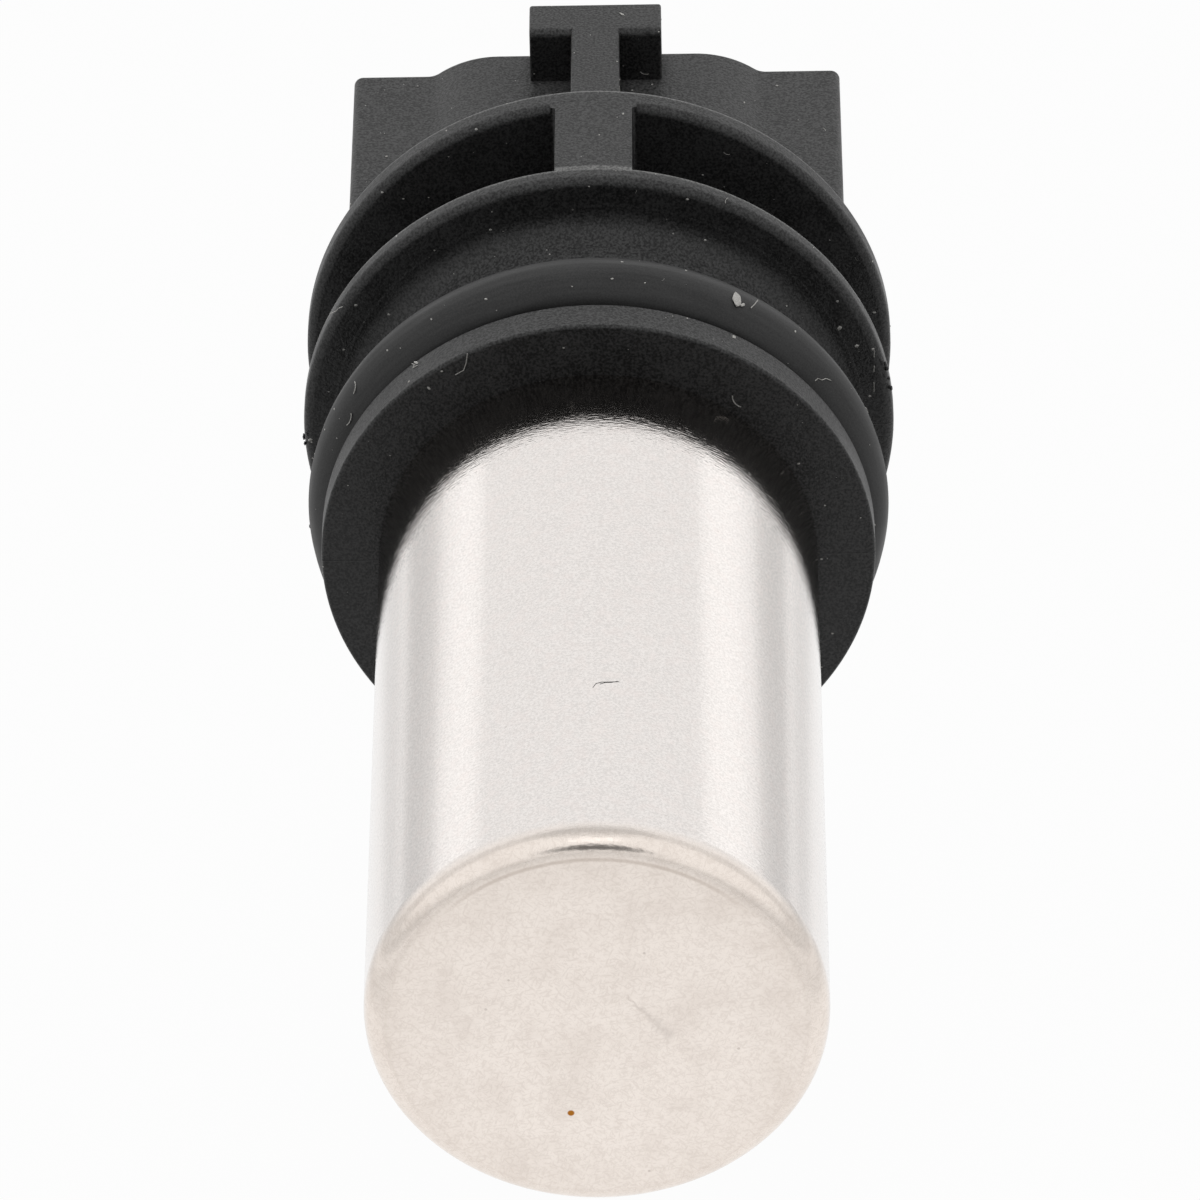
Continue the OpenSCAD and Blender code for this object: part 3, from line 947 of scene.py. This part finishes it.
    def shroud_outline(self) -> list[Point]:
        """Draw the shroud with its cheeks, a soft root where each cheek's top meets the round corner.

        Returns:
            Points in x and z, anticlockwise.
        """
        corner = (self.shroud_w / 2 - self.shroud_r, self.shroud_h / 2 - self.shroud_r)
        top, side, root = self.cheek_h / 2, self.cheek_w / 2, self.cheek_root_r
        rise = top + root - corner[1]
        root_x = corner[0] + math.sqrt((self.shroud_r + root) ** 2 - rise ** 2)
        meet = math.degrees(math.atan2(rise, root_x - corner[0]))
        quarter = [(side, 0.0), *arc((side - self.cheek_r, top - self.cheek_r), self.cheek_r, 0, 90, 6)]
        quarter += arc((root_x, top + root), root, -90, -180 + meet, 8)
        quarter += arc(corner, self.shroud_r, meet, 90, 12)[1:]
        upper = quarter + [(-x, z) for x, z in reversed(quarter)]
        return upper + [(-x, -z) for x, z in upper[1:-1]]

    def shroud(self) -> Mesh:
        """Make the connector shroud with rounded mouth edges, still solid inside."""
        mesh = prism(self.shroud_outline(), self.rear_y - self.sink, self.mouth_y)
        return ease_edges(mesh, self.mouth_edge_r, 3, self.mouth_y - self.hair, 60.0)

    def latch(self) -> list[Mesh]:
        """Make the latch: a bar across the mouth with a round front edge, and a stem to the rear collar.

        Returns:
            The bar and the stem.
        """
        base = self.shroud_h / 2 - self.shroud_wall / 2
        bar_y, top, soft = self.mouth_y - self.bar_t, self.latch_top, self.bar_front_r
        side = [(bar_y, base), (self.mouth_y, base), (self.mouth_y, top)]
        side += arc((bar_y + soft, top - soft), soft, 90, 180, 12)
        bar = prism(side, -self.bar_w / 2, self.bar_w / 2, Facing.ACROSS)
        half = self.stem_w / 2
        stem = prism(rect(-half, half, base, top), self.rear_y - self.sink / 2, bar_y + self.sink)
        return [ease_edges(form, self.latch_edge_r) for form in (bar, stem)]

    def cuts(self) -> list[Mesh]:
        """Make the tools that open the socket, its key slots, the terminal slots and the bolt's place.

        Returns:
            The tools.
        """
        width, height = (size - 2 * self.shroud_wall for size in (self.shroud_w, self.shroud_h))
        corner, relief = self.shroud_r - self.shroud_wall, self.mouth_relief
        floor, over = self.mouth_y - self.socket_depth, self.mouth_y + self.over
        mouth = round_rect(width + 2 * relief, height + 2 * relief, corner + relief)
        key = round_rect(self.cheek_w - 2 * self.key_wall, self.key_h, self.key_r, 4)
        seat = arc((0.0, self.bolt_z), self.bush_r + self.gap, 0, 360, 96)[:-1]
        tools = [
            prism(round_rect(width, height, corner), floor, over),
            prism(mouth, self.mouth_y - self.mouth_step, over),
            prism(key, self.rear_y, over),
            prism(seat, self.seat_y - self.over, self.rear_y + self.over),
        ]
        tall = self.blade_t / 2 + self.gap
        leg = (self.leg_w, self.spigot_y - self.over, self.front_y + self.leg_lap)
        blade = (self.blade_w, self.front_y, floor + self.over)
        for x in self.terminal_xs:
            for wide, start, stop in (leg, blade):
                half = wide / 2 + self.gap
                tools.append(prism(rect(x - half, x + half, -tall, tall), start, stop))
        return tools

    def build(self, finishes: Finishes) -> bpy.types.Object:
        """Join the housing's forms, open its holes and put it in place of its solid.

        Args:
            finishes: The sensor's finishes.

        Returns:
            The finished housing.
        """
        mesh = self.body()
        for form in [self.rib(), self.ear(), self.shroud(), *self.latch()]:
            mesh = combine(mesh, form, Joint.ADD)
        for tool in self.cuts():
            mesh = combine(mesh, tool, Joint.CUT)
        mesh = smooth(mesh, self.crease)
        return finished_piece("moulded_housing", mesh, finishes.housing, ["housing"])


class NodesTool:
    """A Geometry Nodes tree with named inputs, run once on a mesh."""

    def __init__(self, name: str, sizes: dict[str, float]) -> None:
        """Start a tree.

        Args:
            name: Name of the tree.
            sizes: Named inputs and their values, in metres or plain numbers.
        """
        self.sizes = sizes
        self.tree = bpy.data.node_groups.new(name, "GeometryNodeTree")
        face = self.tree.interface
        face.new_socket("Geometry", in_out="INPUT", socket_type="NodeSocketGeometry")
        for size in sizes:
            face.new_socket(size, in_out="INPUT", socket_type="NodeSocketFloat")
        face.new_socket("Geometry", in_out="OUTPUT", socket_type="NodeSocketGeometry")
        self.graph = Graph(self.tree)
        self.given = self.graph.add("NodeGroupInput").outputs

    def finish(self, geometry: Socket, material: bpy.types.Material) -> None:
        """End the tree with real geometry and its material."""
        real = self.graph.add("GeometryNodeRealizeInstances", {"Geometry": geometry}).outputs[0]
        dressed = self.graph.add("GeometryNodeSetMaterial", {"Geometry": real, "Material": material})
        self.graph.add("NodeGroupOutput", {0: dressed.outputs[0]})

    def run(self, mesh: Mesh) -> Mesh:
        """Run the tree on a mesh.

        Args:
            mesh: The mesh that the tree gets.

        Returns:
            The tree's result as a plain mesh.
        """
        piece = in_scene("tool", mesh)
        step = piece.modifiers.new("tool", "NODES")
        step.node_group = self.tree
        for socket in self.tree.interface.items_tree:
            if socket.in_out == "INPUT" and socket.name in self.sizes:
                step[socket.identifier] = float(self.sizes[socket.name])
        made = evaluated_mesh(piece)
        piece.modifiers.remove(step)
        bpy.data.objects.remove(piece)
        return made


@dataclass
class SealingRing:
    """The round-section sealing ring, swept around the axis with a fine moulding ridge."""

    around: int = 288
    section_steps: int = 56
    ridge_h: float = 0.02
    ridge_w: float = 0.07

    def build(self, finishes: Finishes) -> bpy.types.Object:
        """Sweep the ring and put it in place of its solid.

        Args:
            finishes: The sensor's finishes.

        Returns:
            The finished ring.
        """
        low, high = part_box("o_ring")
        section_r = (high.y - low.y) / 2
        tool = NodesTool("swept_ring", {
            "Ring radius": high.x - section_r, "Section radius": section_r - self.ridge_h * MM,
            "Ridge height": self.ridge_h * MM, "Ridge width": self.ridge_w * MM,
            "Station": (low.y + high.y) / 2,
        })
        graph, given = tool.graph, tool.given
        path, section = (
            graph.add("GeometryNodeCurvePrimitiveCircle", {"Resolution": steps, "Radius": given[size]})
            for steps, size in ((self.around, "Ring radius"), (self.section_steps, "Section radius"))
        )
        axes = graph.axes(graph.add("GeometryNodeInputPosition").outputs[0])
        offset = graph.math("DIVIDE", graph.math("ABSOLUTE", axes[1]), given["Ridge width"])
        near = graph.math("SUBTRACT", 1.0, offset, clamp=True)
        push = graph.times(near, given["Ridge height"], graph.math("SIGN", axes[0]))
        ridged = graph.add("GeometryNodeSetPosition", {
            "Geometry": section.outputs["Curve"], "Offset": graph.xyz(push),
        })
        swept = graph.add("GeometryNodeCurveToMesh", {
            "Curve": path.outputs["Curve"], "Profile Curve": ridged.outputs[0],
        })
        placed = graph.add("GeometryNodeTransform", {
            "Geometry": swept.outputs[0], "Translation": graph.xyz(0.0, given["Station"]),
            "Rotation": (math.radians(90), 0.0, 0.0),
        })
        tool.finish(placed.outputs[0], finishes.rubber)
        mesh = tool.run(bpy.data.meshes.new("empty"))
        with editing(mesh) as shell:
            bmesh.ops.recalc_face_normals(shell, faces=shell.faces)
        mesh.shade_smooth()
        return finished_piece("sealing_ring", mesh, finishes.rubber, ["o_ring"], 1.0)


@dataclass
class BoltBushing:
    """The steel bushing in the ear, with chamfered ends."""

    bore_r: float = 3.25
    chamfer: float = 0.3
    lip: float = 0.12
    ease: float = 0.05
    crease: float = 35.0

    def build(self, finishes: Finishes) -> None:
        """Make the bushing and put it in place of its solid."""
        low, high = (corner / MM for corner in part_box("bolt_bushing"))
        outer, start, stop = high.x, low.y, high.y
        cut, lip, bore = self.chamfer, self.lip, self.bore_r
        points = [
            (bore, start + cut), (bore + cut, start), (outer - lip, start), (outer, start + lip),
            (outer, stop - lip), (outer - lip, stop), (bore + cut, stop), (bore, stop - cut),
        ]
        mesh = ease_edges(lathe(points, 128), self.ease, 2)
        mesh.transform(Matrix.Translation((0.0, 0.0, (low.z + high.z) / 2)))
        mesh = smooth(mesh, self.crease)
        finished_piece("steel_bushing", mesh, finishes.bushing, ["bolt_bushing"])


@dataclass
class Terminals:
    """The three stamped terminals, with eased edges."""

    ease: float = 0.05
    weld: float = 1e-4
    flat: float = 1.0
    crease: float = 35.0

    def build(self, finishes: Finishes) -> None:
        """Make each terminal from a merged copy of its solid."""
        for name in TERMINALS:
            node = f"terminal_{name}"
            mesh = bpy.data.objects[node].data.copy()
            mesh.transform(Matrix.Scale(1.0 / MM, 4))
            with editing(mesh) as shell:
                bmesh.ops.remove_doubles(shell, verts=shell.verts, dist=self.weld)
                bmesh.ops.dissolve_limit(
                    shell, angle_limit=math.radians(self.flat), verts=shell.verts, edges=shell.edges,
                )
            mesh = smooth(ease_edges(mesh, self.ease, 2), self.crease)
            finished_piece(f"blade_{name}", mesh, finishes.tin, [node])


class InnerParts:
    """The parts inside the can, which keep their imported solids."""

    def build(self, finishes: Finishes) -> None:
        """Give each inner solid its finish."""
        dressed = {
            finishes.holder: ["element_holder"], finishes.chip: ["hall_chip", "output_resistor"],
            finishes.bushing: ["flux_plate"], finishes.magnet: ["magnet"],
            finishes.tin: [f"hall_lead_{name}" for name in TERMINALS],
            finishes.board: ["circuit_board"], finishes.ceramic: ["supply_capacitor", "output_capacitor"],
            finishes.resin: ["potting"],
        }
        for material, nodes in dressed.items():
            for node in nodes:
                slots = bpy.data.objects[node].data.materials
                slots.clear()
                slots.append(material)
                LOG.info("%s: %s", node, material.name)


@dataclass
class SurfaceDust:
    """Dust and plastic crumbs that lie on a finished piece."""

    density: float = 220000.0
    smallest: float = 0.018
    largest: float = 0.085
    seed: int = 11
    draw_step: int = 1
    flatness: Triple = (1.0, 0.7, 0.5)

    def shape(self, graph: Graph) -> Socket:
        """Make one crumb."""
        return graph.add("GeometryNodeMeshIcoSphere", {"Radius": 1.0, "Subdivisions": 1}).outputs["Mesh"]

    def turn(self, graph: Graph, rotation: Socket) -> Socket:
        """Turn each crumb as the surface lies."""
        return rotation

    def build(self, carrier: bpy.types.Object, name: str, finishes: Finishes) -> None:
        """Scatter dust over a finished piece.

        Args:
            carrier: The piece that carries the dust.
            name: Name of the dust.
            finishes: The sensor's finishes.
        """
        tool = NodesTool(f"scatter_{name}", {
            "Density": self.density, "Smallest": self.smallest * MM, "Largest": self.largest * MM,
        })
        graph, given = tool.graph, tool.given
        points = graph.add("GeometryNodeDistributePointsOnFaces", {
            "Mesh": given["Geometry"], "Density": given["Density"], "Seed": self.seed,
        }).outputs
        draw = graph.add("FunctionNodeRandomValue", {"Seed": self.seed + self.draw_step}, data_type="FLOAT")
        share = graph.math("POWER", draw.outputs[1], 2.0)
        reach = graph.math("SUBTRACT", given["Largest"], given["Smallest"])
        size = graph.plus(given["Smallest"], graph.times(share, reach))
        placed = graph.add("GeometryNodeInstanceOnPoints", {
            "Points": points["Points"], "Instance": self.shape(graph),
            "Rotation": self.turn(graph, points["Rotation"]),
            "Scale": graph.xyz(*(graph.times(size, share) for share in self.flatness)),
        })
        tool.finish(placed.outputs[0], finishes.dust)
        mesh = tool.run(carrier.data.copy())
        finished_piece(name, mesh, finishes.dust, (), 1.0)


@dataclass
class StrayFibres(SurfaceDust):
    """Fine fibres and curled shavings that lie on a finished piece."""

    density: float = 14000.0
    smallest: float = 0.14
    largest: float = 0.6
    seed: int = 8
    draw_step: int = 2
    flatness: Triple = (1.0, 1.0, 1.0)
    thickness: float = 0.05
    curl: float = 75.0

    def shape(self, graph: Graph) -> Socket:
        """Make one curled fibre."""
        curl = graph.add("GeometryNodeCurveArc", {
            "Resolution": 9, "Radius": 1.0, "Sweep Angle": math.radians(self.curl),
        })
        thread = graph.add("GeometryNodeCurvePrimitiveCircle", {"Resolution": 5, "Radius": self.thickness})
        return graph.add("GeometryNodeCurveToMesh", {
            "Curve": curl.outputs["Curve"], "Profile Curve": thread.outputs["Curve"], "Fill Caps": True,
        }).outputs[0]

    def turn(self, graph: Graph, rotation: Socket) -> Socket:
        """Spin each fibre by chance on the surface."""
        spin = graph.add("FunctionNodeRandomValue", {
            "Min": (0.0, 0.0, 0.0), "Max": (0.0, 0.0, 2 * math.pi), "Seed": self.seed + 1,
        }, data_type="FLOAT_VECTOR").outputs[0]
        turned = {"Rotation": rotation, "Rotate By": spin}
        return graph.add("FunctionNodeRotateRotation", turned, rotation_space="LOCAL").outputs[0]


@dataclass(frozen=True)
class Crumb:
    """A crumb on a round surface.

    Its place is a turn from the top, a radius, a station and a lean, in degrees and millimetres. It has half
    sizes around, along and out, and a spin in degrees.
    """

    turn: float
    radius: float
    station: float
    lean: float
    half: Triple
    spin: float = 0.0

    def axes(self) -> Matrix:
        """Give a frame at the crumb whose Z axis stands out of the surface."""
        turn, lean = math.radians(self.turn), math.radians(self.lean)
        out, axis = Vector((math.sin(turn), 0.0, math.cos(turn))), Vector((0.0, 1.0, 0.0))
        normal = out * math.cos(lean) + axis * math.sin(lean)
        around = Vector((math.cos(turn), 0.0, -math.sin(turn)))
        turned = Matrix((around, normal.cross(around), normal)).transposed().to_4x4()
        spin = Matrix.Rotation(math.radians(self.spin), 4, "Z")
        return Matrix.Translation(out * self.radius + axis * self.station) @ turned @ spin


@dataclass
class Debris:
    """The clearest crumbs and fibres of the picture, each at its own place."""

    pale: tuple[Crumb, ...] = (
        Crumb(29.3, 12.33, 35.86, -15.7, (0.2, 0.36, 0.05), 12.0),
        Crumb(30.6, 12.3, 35.7, -20.0, (0.07, 0.12, 0.03), -30.0),
        Crumb(30.0, 11.74, 33.9, 0.0, (0.08, 0.1, 0.05)),
        Crumb(-38.4, 11.15, 32.52, -90.0, (0.05, 0.09, 0.03), 10.0),
        Crumb(-39.6, 11.74, 34.0, 0.0, (0.06, 0.2, 0.04), 35.0),
        Crumb(63.7, 11.6, 42.05, -90.0, (0.08, 0.12, 0.04), 20.0),
        Crumb(69.3, 11.9, 42.05, -90.0, (0.07, 0.1, 0.04)),
        Crumb(-91.1, 12.47, 42.05, -90.0, (0.07, 0.1, 0.04)),
        Crumb(71.2, 12.5, 42.05, -90.0, (0.05, 0.06, 0.03)),
        Crumb(6.7, 10.08, 60.0, 0.0, (0.05, 0.16, 0.03), 50.0),
    )
    dark: tuple[Crumb, ...] = (
        Crumb(76.0, 12.75, 42.3, 0.0, (0.16, 0.1, 0.07), 20.0),
        Crumb(77.6, 12.75, 42.5, 0.0, (0.09, 0.12, 0.08)),
        Crumb(79.2, 12.74, 42.25, 0.0, (0.12, 0.08, 0.06), 40.0),
        Crumb(82.0, 12.74, 42.4, 0.0, (0.1, 0.16, 0.06)),
        Crumb(-91.0, 12.74, 42.3, 0.0, (0.13, 0.12, 0.06), 15.0),
        Crumb(-93.2, 12.74, 42.5, 0.0, (0.08, 0.1, 0.05)),
        Crumb(-94.0, 12.36, 36.4, 0.0, (0.1, 0.12, 0.05)),
    )
    unevenness: float = 0.28
    crumb_crease: float = 50.0
    hair: tuple[tuple[Point, ...], ...] = (
        ((0.0, 10.05), (0.12, 10.32), (0.35, 10.42), (0.7, 10.45), (1.05, 10.5)),
        ((0.28, 10.28), (0.5, 10.4), (0.75, 10.42), (0.98, 10.52)),
    )
    hair_r: float = 0.014
    strands: tuple[tuple[Triple, ...], ...] = (
        ((-7.66, 34.15, 8.9), (-7.55, 33.95, 8.99), (-7.6, 33.75, 8.95), (-7.42, 33.7, 9.1)),
        ((-5.27, 32.51, 10.45), (-5.33, 32.51, 10.0), (-5.45, 32.51, 9.62), (-5.8, 32.51, 9.4)),
        ((6.6, 35.79, 10.36), (6.77, 36.13, 10.34), (6.9, 36.58, 10.24)),
        (
            (9.26, 35.01, 7.15), (9.38, 35.12, 7.2), (9.55, 35.17, 7.08), (9.72, 35.31, 7.06),
            (9.94, 35.41, 6.89),
        ),
        ((-11.38, 42.04, 6.26), (-11.12, 42.04, 6.41), (-11.03, 42.04, 6.53), (-10.83, 42.04, 6.63)),
        ((11.88, 42.04, 3.99), (11.88, 42.04, 3.63)),
        ((11.88, 42.04, 3.17), (11.87, 42.04, 2.86)),
        ((11.87, 42.04, 2.34), (11.87, 42.04, 1.83)),
    )
    strand_r: float = 0.02
    strand_sides: int = 6
    strand_crease: float = 60.0

    def lumps(self, crumbs: Sequence[Crumb]) -> Mesh:
        """Make uneven crumbs at their places.

        Args:
            crumbs: The crumbs.

        Returns:
            One mesh of all of them, in millimetres.
        """
        shell = bmesh.new()
        for number, crumb in enumerate(crumbs):
            shape = crumb.axes() @ Matrix.Diagonal((*crumb.half, 1.0))
            for vert in bmesh.ops.create_icosphere(shell, subdivisions=2, radius=1.0)["verts"]:
                wave = math.sin(5.1 * vert.co.x + 2.3 * number) * math.cos(4.3 * vert.co.y - 1.7 * number)
                vert.co = shape @ (vert.co * (1.0 + self.unevenness * wave))
        return smooth(closed_mesh(shell), self.crumb_crease)

    def threads(self, spines: Iterable[Sequence[Vector]], radius: float) -> Mesh:
        """Sweep thin strands.

        Args:
            spines: The points of each strand.
            radius: Radius of the strands.

        Returns:
            One mesh of all strands, in millimetres.
        """
        shell = bmesh.new()
        count = self.strand_sides
        turns = [math.tau * i / count for i in range(count)]
        for spine in spines:
            rings = []
            side = (spine[1] - spine[0]).orthogonal()
            for number, spot in enumerate(spine):
                before, after = spine[max(number - 1, 0)], spine[min(number + 1, len(spine) - 1)]
                ahead = (after - before).normalized()
                side = (side - ahead * side.dot(ahead)).normalized()
                rise = side.cross(ahead)
                spots = [spot + radius * (side * math.cos(turn) + rise * math.sin(turn)) for turn in turns]
                rings.append([shell.verts.new(place) for place in spots])
            for one, two in zip(rings, rings[1:]):
                for i in range(count):
                    j = (i + 1) % count
                    shell.faces.new((one[i], one[j], two[j], two[i]))
            shell.faces.new(rings[0])
            shell.faces.new(rings[-1])
        return smooth(closed_mesh(shell), self.strand_crease)

    def build(self, finishes: Finishes) -> None:
        """Lay the crumbs and the fibres."""
        can_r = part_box("sensor_can")[1].x / MM
        hair = [[Vector((x, y, math.sqrt(can_r ** 2 - x ** 2))) for x, y in strand] for strand in self.hair]
        strands = [[Vector(spot) for spot in strand] for strand in self.strands]
        for name, mesh, material in (
            ("pale_crumbs", self.lumps(self.pale), finishes.dust),
            ("flash_crumbs", self.lumps(self.dark), finishes.flash),
            ("can_fibre", self.threads(hair, self.hair_r), finishes.flash),
            ("pale_fibres", self.threads(strands, self.strand_r), finishes.dust),
        ):
            finished_piece(name, mesh, material)


@dataclass
class Studio:
    """The floor, the soft lights, the world and the camera.

    The floor's rings and the room's soft boxes are seen only by a first mirror-like bounce. A ring has the
    distances, in metres, over which it sets in, and how much it dims. A box has its direction, its inner and
    outer half angles in degrees, and its gain.
    """

    floor_z: float = -33.0
    floor_y: float = 0.03
    floor_r: float = 2500.0
    floor_tone: float = 0.4
    floor_white: float = 0.97
    floor_rings: tuple[Triple, ...] = (
        (0.06, 0.085, 0.14), (0.148, 0.172, 0.19), (0.105, 0.12, -0.08), (0.25, 0.75, -0.09),
    )
    ring_y: float = 0.02
    lens: float = 297.24
    sensor: float = 36.0
    eye: Triple = (5.20902, -312.04783, 239.1929)
    right: Triple = (0.99981697, 0.00169008, -0.01905722)
    up: Triple = (0.01463709, 0.57387309, 0.81881343)
    forward: Triple = (-0.01232028, 0.8189425, -0.57374332)
    key_power: float = 3.2
    key_size: float = 0.36
    key_place: Triple = (0.0, 0.03, 0.87)
    key_aim: Triple = (0.0, 0.03, 0.0)
    fill_front: float = 0.08
    bounce: float = 0.08
    fill_back: float = 0.6
    fill_side: float = 0.45
    soft_boxes: tuple[tuple[Triple, float, float, float], ...] = (
        ((-0.5557, 0.819, 0.1437), 6.0, 9.5, 0.16),
        ((0.5518, 0.819, 0.1582), 8.0, 12.0, 0.17),
        ((0.0, -0.656, 0.754), 7.0, 12.0, 0.3),
        ((0.0, -0.953, 0.305), 5.0, 15.0, -0.88),
    )

    def camera(self) -> None:
        """Place the camera at the photograph's viewing angle."""
        data = bpy.data.cameras.new("camera")
        data.lens = self.lens
        data.sensor_width = self.sensor
        data.clip_start = 0.01
        eye = in_scene("camera", data)
        columns = Matrix((self.right, self.up, tuple(-c for c in self.forward))).transposed()
        eye.matrix_world = Matrix.Translation(Vector(self.eye) * MM) @ columns.to_4x4()
        bpy.context.scene.camera = eye

    def mirrored(self, graph: Graph) -> Socket:
        """Say whether a ray comes straight from a mirror-like or clear surface that the camera sees."""
        path = graph.add("ShaderNodeLightPath").outputs
        mirror = graph.most(path["Is Glossy Ray"], path["Is Transmission Ray"])
        first = graph.math("LESS_THAN", graph.plus(path["Glossy Depth"], path["Diffuse Depth"]), 1.5)
        return graph.times(mirror, first)

    def floor(self) -> None:
        """Lay a pale floor that keeps a faint shadow."""
        shell = bmesh.new()
        bmesh.ops.create_circle(shell, cap_ends=True, radius=self.floor_r * MM, segments=64)
        bmesh.ops.translate(shell, verts=shell.verts, vec=(0.0, self.floor_y, self.floor_z * MM))
        mesh = bpy.data.meshes.new("floor")
        shell.to_mesh(mesh)
        shell.free()
        material = bpy.data.materials.new("floor")
        material.use_nodes = True
        graph = Graph(material.node_tree)
        place = graph.add("ShaderNodeTexCoord").outputs["Object"]
        middle = graph.away(place, (0.0, self.ring_y, self.floor_z * MM))
        mirror = self.mirrored(graph)
        dim = graph.plus(*(graph.span(middle, low, high, 0.0, gain) for low, high, gain in self.floor_rings))
        level = graph.math("SUBTRACT", 1.0, graph.times(mirror, dim))
        glow = graph.add("ShaderNodeEmission", {"Color": grey(1.0), "Strength": level})
        matt = graph.add("ShaderNodeBsdfDiffuse", {"Color": grey(self.floor_tone)})
        camera = graph.add("ShaderNodeLightPath").outputs["Is Camera Ray"]
        share = graph.times(graph.most(camera, mirror), self.floor_white)
        both = graph.add("ShaderNodeMixShader", {0: share, 1: matt.outputs[0], 2: glow.outputs[0]})
        graph.add("ShaderNodeOutputMaterial", {"Surface": both.outputs[0]})
        mesh.materials.append(material)
        piece = in_scene("floor", mesh)

    def world(self) -> None:
        """Light the room: white behind, dimmer overhead and dark where the camera stands."""
        world = bpy.data.worlds.new("room")
        world.use_nodes = True
        bpy.context.scene.world = world
        graph = Graph(world.node_tree)
        look = graph.add("ShaderNodeTexCoord").outputs["Generated"]
        axes = graph.axes(look)
        over = graph.span(graph.math("ABSOLUTE", axes[1]), 0.06, 0.32, 0.82, 1.0)
        horizon = graph.span(axes[2], -0.02, 0.17, 0.85, 1.0)
        room = graph.times(over, horizon, graph.span(axes[2], 0.86, 0.97, 1.0, 0.8))
        for place, inner, outer, gain in self.soft_boxes:
            edge, core = (math.cos(math.radians(angle)) for angle in (outer, inner))
            near = graph.span(graph.dot(look, place), edge, core)
            room = graph.math("MULTIPLY_ADD", near, gain, room)
        fill = graph.span(axes[1], -0.3, 0.3, self.fill_front, self.fill_back)
        beside = graph.span(graph.math("ABSOLUTE", axes[0]), 0.5, 0.85, 0.0, self.fill_side)
        path = graph.add("ShaderNodeLightPath").outputs
        later = graph.math("GREATER_THAN", path["Diffuse Depth"], 0.5)
        cast = graph.times(path["Is Glossy Ray"], later, self.bounce)
        soft = graph.math("ADD", path["Is Camera Ray"], graph.plus(cast, fill, beside), clamp=True)
        lit = graph.add("ShaderNodeMix", {0: self.mirrored(graph), 2: soft, 3: room}, data_type="FLOAT")
        glow = graph.add("ShaderNodeBackground", {"Color": grey(1.0), "Strength": lit.outputs[0]})
        graph.add("ShaderNodeOutputWorld", {"Surface": glow.outputs[0]})

    def lights(self) -> None:
        """Hang one broad soft light above the sensor."""
        data = bpy.data.lights.new("key", "AREA")
        data.shape = "SQUARE"
        data.size = self.key_size
        data.energy = self.key_power
        lamp = in_scene("key", data)
        lamp.location = self.key_place
        aim = Vector(self.key_aim) - lamp.location
        lamp.rotation_euler = aim.to_track_quat("-Z", "Y").to_euler()
        lamp.visible_camera = False
        lamp.visible_glossy = False

    def build(self) -> None:
        """Set up the whole studio."""
        bpy.context.scene.view_settings.view_transform = "Standard"
        self.camera()
        self.floor()
        self.world()
        self.lights()


def main() -> None:
    """Build the studio and the sensor."""
    logging.basicConfig(level=logging.INFO, format="%(name)s %(message)s")
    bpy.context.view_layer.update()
    Studio().build()
    finishes = Finishes()
    housing = Housing().build(finishes)
    SensorCan().build(finishes)
    ring = SealingRing().build(finishes)
    BoltBushing().build(finishes)
    Terminals().build(finishes)
    InnerParts().build(finishes)
    SurfaceDust().build(housing, "housing_dust", finishes)
    SurfaceDust(seed=23).build(ring, "ring_dust", finishes)
    StrayFibres().build(housing, "housing_fibres", finishes)
    StrayFibres(seed=31).build(ring, "ring_fibres", finishes)
    Debris().build(finishes)


if __name__ == "__main__":
    main()
